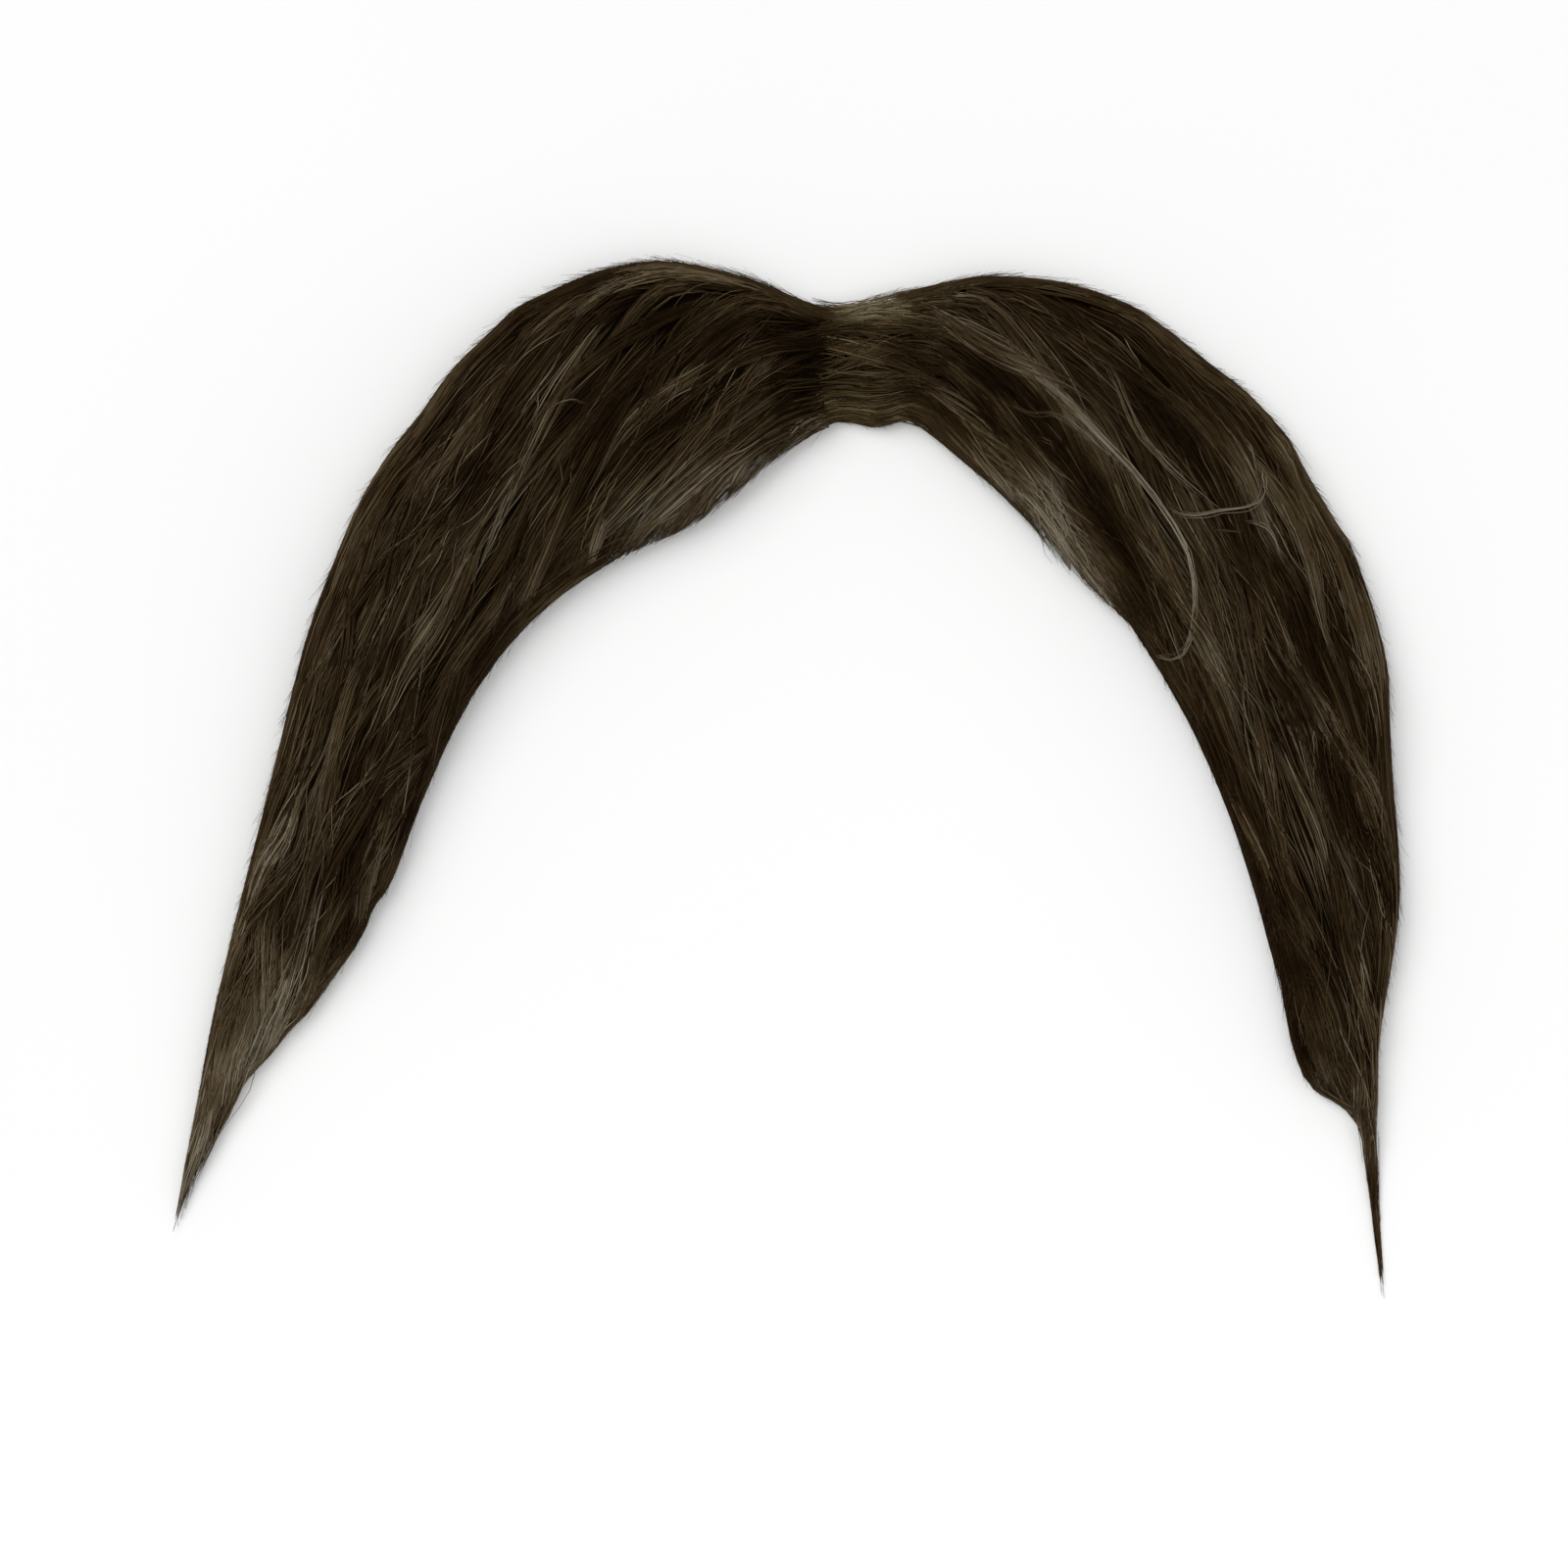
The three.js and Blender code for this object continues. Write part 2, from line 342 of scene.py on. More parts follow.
@dataclass
class HairForm:
    """The domed form that a piece of hair is combed over.

    A place on it has a roll, from 0 at the outer edge over the crown to pi at the
    inner edge, and an along, from 0 at the bridge to 1 at the tip. Its share is the
    part of the way across in plan.

    Attributes:
        sections: The sections that it runs through, from the bridge to the tip.
        swells: Where its edges swell out or draw in.
        stations: How many rows it is laid out in.
        rows: The outer edge, the inner edge, the crown and the comb at each station.
        slopes: How fast each of these changes along the form.
        turn: Which way round the form lies, 1 or -1.
    """

    sections: tuple[Section, ...]
    swells: tuple[Swell, ...] = ()
    stations: int = 400
    rows: Array = field(init=False)
    slopes: Array = field(init=False)
    turn: float = field(init=False)

    EDGE = (0.03, 0.13, 0.8)  # an edge's least height, its rise with the crown and its most
    LEAST_ROLL = 0.3  # what a radian of roll covers at least, in millimetres
    OUTER_BAND = (0.0, 0.22)  # the shares in which hair leaves the way of the outer edge
    INNER_BAND = (0.55, 0.9)  # the shares in which hair takes up the way of the inner edge
    NET = (90, 240)  # the rolls and the alongs that places are looked up in
    NET_INSET = 0.02  # how far these keep off the edges, in radians

    def __post_init__(self) -> None:
        """Lays the edges, the crown and the comb through the sections."""
        knots = np.array([(*s.outer, *s.inner, s.crown, s.comb) for s in self.sections])
        self.rows = through(knots, self.stations)
        for swell in self.swells:
            outer, inner = self.rows[:, 0:2].copy(), self.rows[:, 2:4].copy()
            self.rows[:, 0:2] += swell.push(outer, inner)
            self.rows[:, 2:4] += swell.push(inner, outer)
        self.slopes = np.gradient(self.rows, axis=0) * (self.stations - 1)
        span = knots[1, 2:4] - knots[1, 0:2]
        ahead = knots[2, 0:2] - knots[0, 0:2]
        self.turn = float(np.sign(ahead[0] * span[1] - ahead[1] * span[0]))

    def place(self, roll: Array, along: Array) -> tuple[Array, Array]:
        """Points on the form, and the way out of it there.

        Args:
            roll: The roll of each point.
            along: How far along each point is.

        Returns:
            The points in millimetres, and unit vectors out of the form.
        """
        row = rows_at(self.rows, along)
        slope = rows_at(self.slopes, along)
        share = ((1.0 - np.cos(roll)) / 2.0)[..., None]
        sine = np.sin(roll)[..., None]
        cosine = np.cos(roll)[..., None]
        span = row[..., 2:4] - row[..., 0:2]
        crown = row[..., 4:5]
        plan = row[..., 0:2] + span * share
        least, rise, most = self.EDGE
        edge = np.minimum(most, least + rise * crown)
        points = np.concatenate([plan, edge + crown * sine], axis=-1)
        across = np.concatenate([span * sine / 2.0, crown * cosine], axis=-1)
        run = slope[..., 0:2] * (1.0 - share) + slope[..., 2:4] * share
        ahead = np.concatenate([run, slope[..., 4:5] * sine], axis=-1)
        return points, unit(np.cross(ahead, across)) * self.turn

    def per_roll(self, roll: Array, along: Array) -> Array:
        """How much of the form one radian of roll covers.

        Args:
            roll: The roll of each place.
            along: How far along each place is.

        Returns:
            The way across at each place, in millimetres.
        """
        row = rows_at(self.rows, along)
        half = np.linalg.norm(row[..., 2:4] - row[..., 0:2], axis=-1) / 2.0
        return np.hypot(half * np.sin(roll), row[..., 4] * np.cos(roll)) + self.LEAST_ROLL

    def comb(
        self, share: Array, along: Array, heading: Array, length: Array, hug: float = 0.0
    ) -> Array:
        """Follows the comb from roots.

        Args:
            share: Each root's share across.
            along: How far along each root is.
            heading: Degrees that each is combed off the comb's way, at every step.
            length: Each length in plan, in millimetres.
            hug: How closely hair near the inner edge follows that edge, from 0 to 1.

        Returns:
            The share and the along of each path, from its root to its tip.
        """
        steps = heading.shape[1]
        path = np.empty((len(share), steps + 1, 2))
        path[:, 0] = np.stack([share, along], axis=-1)
        for step in range(steps):
            here = path[:, step]
            row = rows_at(self.rows, here[:, 1])
            slope = rows_at(self.slopes, here[:, 1])
            span = row[:, 2:4] - row[:, 0:2]
            run = slope[:, 0:2] + (slope[:, 2:4] - slope[:, 0:2]) * here[:, :1]
            angle = np.radians(row[:, 5] + heading[:, step])
            combed = np.stack([np.cos(angle), np.sin(angle)], axis=-1)
            free = ease(*self.OUTER_BAND, here[:, 0])[:, None]
            held = hug * ease(*self.INNER_BAND, here[:, 0])[:, None]
            way = unit(slope[:, 0:2]) * (1.0 - free) + combed * free
            way = unit(way * (1.0 - held) + unit(slope[:, 2:4]) * held)
            area = span[:, 0] * run[:, 1] - span[:, 1] * run[:, 0]
            aside = (way[:, 0] * run[:, 1] - way[:, 1] * run[:, 0]) / area
            onward = (span[:, 0] * way[:, 1] - span[:, 1] * way[:, 0]) / area
            move = np.stack([aside, onward], axis=-1) * (length / steps)[:, None]
            path[:, step + 1] = here + move
        return path

    def find(self, plan: Array) -> tuple[Array, Array]:
        """The place on the form over points in plan.

        Args:
            plan: The points, in millimetres.

        Returns:
            Their roll and their along.
        """
        rolls, alongs = self.NET
        roll, along = np.meshgrid(
            np.linspace(self.NET_INSET, math.pi - self.NET_INSET, rolls),
            np.linspace(0.0, 1.0, alongs),
        )
        net = self.place(roll, along)[0][..., 0:2].reshape(-1, 2)
        flat = plan.reshape(-1, 2)
        near = np.array([np.argmin(((net - point) ** 2).sum(axis=1)) for point in flat])
        shape = plan.shape[:-1]
        return roll.ravel()[near].reshape(shape), along.ravel()[near].reshape(shape)


@dataclass
class Strands:
    """Hair strands, each a row of points from its root to its tip.

    Attributes:
        points: The centre lines, in millimetres.
        out: The way out of the hair at each point.
        radius: The radius at each point, in millimetres.
        tint: How light the hair is at each point, from 0 to 1.
    """

    points: Array
    out: Array
    radius: Array
    tint: Array

    def mesh(self, name: str) -> bpy.types.Object:
        """Makes the strands into closed three-sided tubes in one mesh.

        Args:
            name: The name of the piece.

        Returns:
            The piece, with its tint and a map that gives each strand a cell.
        """
        count, rings = self.radius.shape
        ahead = unit(np.gradient(self.points, axis=1))
        out = unit(self.out - ahead * (self.out * ahead).sum(axis=-1, keepdims=True))
        across = np.cross(ahead, out)
        turns = np.radians(np.array([0.0, 120.0, 240.0]))[None, None, :, None]
        spokes = np.cos(turns) * out[:, :, None] + np.sin(turns) * across[:, :, None]
        shell = self.points[:, :, None] + spokes * self.radius[:, :, None, None]
        sides = [
            (3 * ring + side, 3 * ring + (side + 1) % 3,
             3 * ring + 3 + (side + 1) % 3, 3 * ring + 3 + side)
            for ring in range(rings - 1)
            for side in range(3)
        ]
        end = 3 * (rings - 1)
        corners = [corner for face in sides for corner in face]
        corners += [0, 2, 1, end, end + 1, end + 2]
        sizes = [4] * len(sides) + [3, 3]
        starts = np.concatenate([[0], np.cumsum(sizes)[:-1]])
        strand = np.arange(count)[:, None]
        loops = (np.array(corners)[None] + strand * rings * 3).ravel()
        faces = (starts[None] + strand * len(corners)).ravel()
        mesh = new_mesh(name, shell.reshape(-1, 3) * MM, loops, faces)
        tint = mesh.attributes.new("tint", "FLOAT", "POINT")
        tint.data.foreach_set("value", np.repeat(self.tint.ravel(), 3).astype(np.float32))
        self._map(mesh, count, rings)
        return new_piece(name, mesh)

    @staticmethod
    def _map(mesh: bpy.types.Mesh, count: int, rings: int) -> None:
        """Gives each strand a cell of its own on the mesh's map.

        Args:
            mesh: The strands' mesh.
            count: How many strands it has.
            rings: How many rings of points each strand has.
        """
        margin = 0.1
        x = margin + (1.0 - 2.0 * margin) * np.arange(rings) / (rings - 1)
        y = margin + (1.0 - 2.0 * margin) * np.arange(4) / 3.0
        cell = [
            corner
            for ring in range(rings - 1)
            for side in range(3)
            for corner in (
                (x[ring], y[side]), (x[ring], y[side + 1]),
                (x[ring + 1], y[side + 1]), (x[ring + 1], y[side]),
            )
        ]
        # The two end faces lie in the margins
        cell += [(0.02, 0.2), (0.08, 0.5), (0.02, 0.8), (0.92, 0.2), (0.98, 0.5), (0.92, 0.8)]
        wide = math.ceil(math.sqrt(count))
        strand = np.arange(count)
        corner = np.stack([strand % wide, strand // wide], axis=-1)[:, None]
        spread = (corner + np.array(cell)[None]) / wide
        layer = mesh.uv_layers.new(name="OFBake")
        layer.uv.foreach_set("vector", spread.ravel().astype(np.float32))


def new_mesh(name: str, points: Array, loops: Array, starts: Array) -> bpy.types.Mesh:
    """Makes a mesh from arrays.

    Args:
        name: The mesh's name.
        points: Its points, in metres.
        loops: The point at each corner of each face, face after face.
        starts: Where each face starts in loops.

    Returns:
        The mesh, smooth all over.
    """
    mesh = bpy.data.meshes.new(name)
    mesh.vertices.add(len(points))
    mesh.vertices.foreach_set("co", points.astype(np.float32).ravel())
    mesh.loops.add(len(loops))
    mesh.loops.foreach_set("vertex_index", loops.astype(np.int32))
    mesh.polygons.add(len(starts))
    mesh.polygons.foreach_set("loop_start", starts.astype(np.int32))
    mesh.update(calc_edges=True)
    mesh.shade_smooth()
    return mesh


def new_piece(name: str, mesh: bpy.types.Mesh) -> bpy.types.Object:
    """Puts a mesh in the scene as an object at the origin.

    Args:
        name: The object's name.
        mesh: Its mesh.

    Returns:
        The object.
    """
    piece = bpy.data.objects.new(name, mesh)
    bpy.context.scene.collection.objects.link(piece)
    return piece


def loft(name: str, rings: Array) -> bpy.types.Mesh:
    """Joins closed rings of points into a closed skin.

    Args:
        name: The mesh's name.
        rings: The rings, each with as many points, in millimetres.

    Returns:
        The mesh.
    """
    count, around = rings.shape[:2]
    ring = np.arange(count - 1)[:, None] * around
    side = np.arange(around)[None]
    after = (side + 1) % around
    quads = np.stack(
        [ring + side, ring + after, ring + around + after, ring + around + side], axis=-1
    ).reshape(-1)
    first = np.arange(around)[::-1]
    last = np.arange(around) + (count - 1) * around
    loops = np.concatenate([quads, first, last])
    whole = len(quads)
    starts = np.concatenate([np.arange(0, whole, 4), [whole, whole + around]])
    return new_mesh(name, rings.reshape(-1, 3) * MM, loops, starts)


class NodePen:
    """Adds nodes to a material and joins them up."""

    def __init__(self, name: str) -> None:
        """Starts a material with a shader and nothing linked to it.

        Args:
            name: The material's name.
        """
        self.material = bpy.data.materials.new(name)
        self.material.use_nodes = True
        self.tree = self.material.node_tree
        self.shader = self.tree.nodes["Principled BSDF"]

    def add(self, kind: str, links: dict | None = None, **values: object) -> bpy.types.Node:
        """Adds a node.

        Args:
            kind: The node's type, without the words that all shader nodes share.
            links: Sockets to link, by input name.
            values: Properties of the node, or values of its inputs.

        Returns:
            The node.
        """
        node = self.tree.nodes.new("ShaderNode" + kind)
        for key, value in values.items():
            socket = key.replace("_", " ").title()
            if hasattr(node, key):
                setattr(node, key, value)
            else:
                node.inputs[socket].default_value = value
        for key, source in (links or {}).items():
            self.link(source, node.inputs[key])
        return node

    def link(self, source: bpy.types.NodeSocket, target: bpy.types.NodeSocket) -> None:
        """Links one socket to another."""
        self.tree.links.new(source, target)

    def ramp(self, fac: bpy.types.NodeSocket, stops: tuple) -> bpy.types.NodeSocket:
        """Turns a value into a colour.

        Args:
            fac: The value.
            stops: Places from 0 to 1, each with its colour.

        Returns:
            The colour.
        """
        node = self.add("ValToRGB", {"Fac": fac})
        elements = node.color_ramp.elements
        while len(elements) < len(stops):
            elements.new(0.5)
        for element, (place, colour) in zip(elements, stops):
            element.position = place
            element.color = (*colour, 1.0)
        return node.outputs["Color"]

    def sum(self, operation: str, first: object, second: object) -> bpy.types.NodeSocket:
        """Does a sum with two values.

        Args:
            operation: The sum's name.
            first: A socket or a number.
            second: A socket or a number.

        Returns:
            What it comes to.
        """
        node = self.add("Math", operation=operation)
        for place, value in enumerate((first, second)):
            if isinstance(value, bpy.types.NodeSocket):
                self.link(value, node.inputs[place])
            else:
                node.inputs[place].default_value = value
        return node.outputs["Value"]


@dataclass(frozen=True)
class HairFinish:
    """Combed hair: dark brown, with lighter strands and a soft sheen.

    Attributes:
        name: The finish's name.
        stops: The hair's colours, from its darkest to its lightest tint.
        sheen: The colour of its reflections.
        mottle: How far the tint varies along the strands.
        roughness: The smoothest and the roughest that the hair is.
        gloss: How strongly it reflects.
    """

    name: str
    stops: tuple[tuple[float, Colour], ...]
    sheen: Colour
    mottle: float = 0.3
    roughness: Span = (0.36, 0.56)
    gloss: float = 0.09

    def material(self) -> bpy.types.Material:
        """Makes the finish's material.

        Returns:
            The material.
        """
        pen = NodePen(self.name)
        place = pen.add("TexCoord").outputs["Object"]
        broad = pen.add("TexNoise", {"Vector": place}, scale=170.0, detail=3.0)
        fine = pen.add("TexNoise", {"Vector": place}, scale=1500.0, detail=2.0)
        tint = pen.add("Attribute", attribute_name="tint").outputs["Fac"]
        drift = pen.sum("SUBTRACT", broad.outputs["Fac"], NOISE_MIDDLE)
        varied = pen.sum("ADD", tint, pen.sum("MULTIPLY", drift, self.mottle))
        pen.link(pen.ramp(varied, self.stops), pen.shader.inputs["Base Color"])
        span = pen.add("MapRange", {"Value": fine.outputs["Fac"]})
        span.inputs["From Min"].default_value = 0.3
        span.inputs["From Max"].default_value = 0.7
        span.inputs["To Min"].default_value = self.roughness[0]
        span.inputs["To Max"].default_value = self.roughness[1]
        pen.link(span.outputs["Result"], pen.shader.inputs["Roughness"])
        bump = pen.add("Bump", {"Height": fine.outputs["Fac"]}, strength=0.25, distance=0.00003)
        pen.link(bump.outputs["Normal"], pen.shader.inputs["Normal"])
        pen.shader.inputs["Specular IOR Level"].default_value = self.gloss
        pen.shader.inputs["Specular Tint"].default_value = (*self.sheen, 1.0)
        return pen.material


@dataclass(frozen=True)
class ClothFinish:
    """Matt woven cloth, in threads that cross at right angles.

    Attributes:
        name: The finish's name.
        dark: The colour between the threads: a painted shade.
        light: The colour on top of the threads: painted light.
        thread: How far apart the threads are, in millimetres.
    """

    name: str
    dark: Colour
    light: Colour
    thread: float = 0.55

    BAND = 0.1 * math.pi  # how far apart a wave texture's bands are at a scale of 1

    def material(self) -> bpy.types.Material:
        """Makes the finish's material.

        Returns:
            The material.
        """
        pen = NodePen(self.name)
        place = pen.add("TexCoord").outputs["Object"]
        scale = self.BAND / (self.thread * MM)
        warp = pen.add("TexWave", {"Vector": place}, scale=scale, distortion=0.6)
        weft = pen.add("TexWave", {"Vector": place}, scale=scale, distortion=0.6)
        weft.bands_direction = "Y"
        # The weave's shade is painted: dark between the threads and light on their tops
        over = pen.sum("MULTIPLY", warp.outputs["Fac"], weft.outputs["Fac"])
        worn = pen.add("TexNoise", {"Vector": place}, scale=120.0, detail=4.0)
        wear = pen.sum("SUBTRACT", worn.outputs["Fac"], NOISE_MIDDLE)
        tone = pen.sum("ADD", over, wear)
        colour = pen.ramp(tone, ((0.1, self.dark), (0.9, self.light)))
        pen.link(colour, pen.shader.inputs["Base Color"])
        bump = pen.add("Bump", {"Height": over}, strength=0.6, distance=0.0002)
        pen.link(bump.outputs["Normal"], pen.shader.inputs["Normal"])
        rough = pen.add("MapRange", {"Value": worn.outputs["Fac"]})
        rough.inputs["To Min"].default_value = 0.75
        rough.inputs["To Max"].default_value = 0.95
        pen.link(rough.outputs["Result"], pen.shader.inputs["Roughness"])
        pen.shader.inputs["Specular IOR Level"].default_value = 0.2
        return pen.material


@dataclass(frozen=True)
class FloorFinish:
    """A pale matt table top.

    Attributes:
        name: The finish's name.
        low: Its darker tone.
        high: Its lighter tone.
    """

    name: str
    low: Colour
    high: Colour

    def material(self) -> bpy.types.Material:
        """Makes the finish's material.

        Returns:
            The material.
        """
        pen = NodePen(self.name)
        place = pen.add("TexCoord").outputs["Object"]
        cloud = pen.add("TexNoise", {"Vector": place}, scale=3.0, detail=3.0)
        colour = pen.ramp(cloud.outputs["Fac"], ((0.3, self.low), (0.7, self.high)))
        pen.link(colour, pen.shader.inputs["Base Color"])
        pen.shader.inputs["Roughness"].default_value = 0.85
        pen.shader.inputs["Specular IOR Level"].default_value = 0.1
        return pen.material


WING_FINISH = HairFinish(
    "dark_brown_hair",
    (
        (0.0, (0.0070, 0.0028, 0.0005)),
        (0.3, (0.0255, 0.0142, 0.0050)),
        (0.55, (0.064, 0.0425, 0.0195)),
        (0.8, (0.142, 0.108, 0.064)),
        (1.0, (0.265, 0.228, 0.165)),
    ),
    (1.0, 0.74, 0.45),
)

BRIDGE_FINISH = HairFinish(
    "olive_brown_hair",
    (
        (0.0, (0.0078, 0.0034, 0.0006)),
        (0.3, (0.0275, 0.0160, 0.0054)),
        (0.55, (0.067, 0.0455, 0.0190)),
        (0.8, (0.140, 0.108, 0.056)),
        (1.0, (0.25, 0.215, 0.145)),
    ),
    (1.0, 0.76, 0.46),
)

CLOTH_FINISH = ClothFinish("brown_backing_cloth", (0.022, 0.015, 0.010), (0.085, 0.062, 0.044))
FLOOR_FINISH = FloorFinish("pale_table_top", (0.92, 0.92, 0.918), (0.96, 0.96, 0.957))


@dataclass
class Relief:
    """How high the hair lies, in square cells over the plan.

    Attributes:
        corner: The low corner of the first cell, in millimetres.
        heights: The top of the hair in each cell, in millimetres.
    """

    corner: Array
    heights: Array

    CELL = 0.6  # the side of a cell, in millimetres
    PARTS = 12  # how many places are looked at between two points of a strand
    MARGIN = 2  # empty cells on each side

    @classmethod
    def over(cls, layers: list[Strands]) -> "Relief":
        """Finds the top of layers of strands.

        Args:
            layers: The layers.

        Returns:
            The relief that they make.
        """
        share = np.linspace(0.0, 1.0, cls.PARTS, endpoint=False)[:, None]
        dots = []
        for strands in layers:
            start, stop = strands.points[:, :-1, None], strands.points[:, 1:, None]
            dots.append((start + (stop - start) * share).reshape(-1, 3))
        spots = np.concatenate(dots)
        corner = spots[:, 0:2].min(axis=0) - cls.MARGIN * cls.CELL
        cell = ((spots[:, 0:2] - corner) / cls.CELL).astype(int)
        heights = np.zeros(cell.max(axis=0) + 2 * cls.MARGIN)
        np.maximum.at(heights, (cell[:, 0], cell[:, 1]), spots[:, 2])
        return cls(corner, heights)

    def at(self, plan: Array) -> Array:
        """The top of the hair around points.

        Args:
            plan: The points in plan, in millimetres.

        Returns:
            The height at each, or 0 where there is no hair.
        """
        cell = ((plan - self.corner) / self.CELL).astype(int)
        cell = np.clip(cell, 1, np.array(self.heights.shape) - 2)
        near = np.array([
            self.heights[cell[..., 0] + x, cell[..., 1] + y]
            for x in (-1, 0, 1)
            for y in (-1, 0, 1)
        ])
        return near.sum(axis=0) / np.maximum((near > 0.0).sum(axis=0), 1)


@dataclass
class Tufts:
    """Tufts of hair, one entry in each array for each tuft.

    Attributes:
        share: The root's share across the form.
        along: How far along the form the root is.
        length: The tuft's length in plan, in millimetres.
        width: Half of its width, in millimetres.
        depth: How deep it is from its top to its underside, in millimetres.
        sink: How far it lies under the form, in millimetres.
        buried: How much deeper its roots lie, in millimetres.
        tint: How light its hair is.
    """

    share: Array
    along: Array
    length: Array
    width: Array
    depth: Array
    sink: Array
    buried: Array
    tint: Array

    def __len__(self) -> int:
        """How many tufts there are."""
        return len(self.share)


@dataclass(frozen=True)
class Layer:
    """A layer of tufts over a form.

    Attributes:
        name: The layer's name, which ends its piece's name.
        tufts: How many tufts it has.
        strands: How many strands each tuft has.
        points: How many points each strand has.
        length: The shortest and the longest that its tufts are, in millimetres.
        width: The least and the most half width of a tuft, in millimetres.
        sink: The least and the most that a tuft lies under the form, in millimetres.
        tint: The least and the most tint of a tuft.
        stray: How many degrees a tuft may be combed off the comb's way.
        radius: The radius of its strands, in millimetres.
        gather: The part of its width that a tuft keeps at its tip.
        streaks: How many lighter streaks a tuft has across it.
        band: The part of the form, outer to inner edge, that has its roots.
        hug: How closely its hair follows the inner edge.
        bury: How much deeper its roots lie, in the hair and at the seam, in millimetres.
        scatter: The part of a tuft's length that its roots are scattered over.
        weave: How far its tufts rise and dive along their length, in millimetres.
    """

    name: str
    tufts: int
    strands: int
    points: int
    length: Span
    width: Span
    sink: Span
    tint: Span
    stray: float
    radius: float
    gather: float
    streaks: float
    band: Span = (0.0, 1.0)
    hug: float = 0.0
    bury: Span = (1.7, 1.5)
    scatter: float = 0.14
    weave: float = 0.0


@dataclass
class Fan:
    """How the strands of a layer part from their tufts, one entry for each strand.

    Attributes:
        owner: The tuft that it belongs to.
        aside: How far to the side it lies, as a part of the tuft's half width.
        under: How far down it lies, as a part of the tuft's depth.
        first: Where on the tuft's path it starts, from 0 to 1.
        last: Where on that path it ends.
        sway: How far it sways to the sides, in millimetres.
        phase: Where its sway starts.
        rate: How often it sways.
        streak: Where the streaks of its tuft start.
        tone: How much lighter it is than its tuft.
        thick: Its radius, in millimetres.
    """

    owner: Array
    aside: Array
    under: Array
    first: Array
    last: Array
    sway: Array
    phase: Array
    rate: Array
    streak: Array
    tone: Array
    thick: Array

    EARLIEST = -0.08  # where a strand starts: below 0, it starts at the very root
    LAST = (0.72, 1.0)  # where on its path a strand ends
    ROUND_END = 0.18  # how much sooner the strands at a tuft's sides end
    SWAY = 0.26  # how far strands sway, in millimetres
    RATE = (0.4, 1.3)  # how often a strand sways
    TONE = 0.095  # how far the strands of a tuft differ in tint
    STREAK = 0.13  # how much lighter a streak is
    THICK = (0.75, 1.3)  # how thick a strand is, against its layer's radius

    @classmethod
    def draw(cls, layer: Layer, count: int, rng: np.random.Generator) -> "Fan":
        """Draws how the strands of a layer part.

        Args:
            layer: The layer.
            count: How many tufts it has.
            rng: The random numbers.

        Returns:
            The fan of its strands.
        """
        owner = np.repeat(np.arange(count), layer.strands)
        number = len(owner)
        far = np.sqrt(rng.random(number))
        turn = rng.random(number) * math.tau
        aside = far * np.cos(turn)
        under = 0.5 - 0.5 * far * np.sin(turn)
        first = np.maximum(0.0, rng.uniform(cls.EARLIEST, layer.scatter, number))
        last = rng.uniform(*cls.LAST, number) * (1.0 - cls.ROUND_END * np.abs(aside))
        sway = rng.normal(0.0, cls.SWAY, number)
        phase = rng.random(number)
        rate = rng.uniform(*cls.RATE, number)
        streak = rng.random(count)[owner]
        light = np.sin(math.tau * (streak + 0.5 * layer.streaks * aside))
        tone = rng.normal(0.0, cls.TONE, number) + cls.STREAK * light
        thick = layer.radius * rng.uniform(*cls.THICK, number)
        return cls(owner, aside, under, first, last, sway, phase, rate, streak, tone, thick)


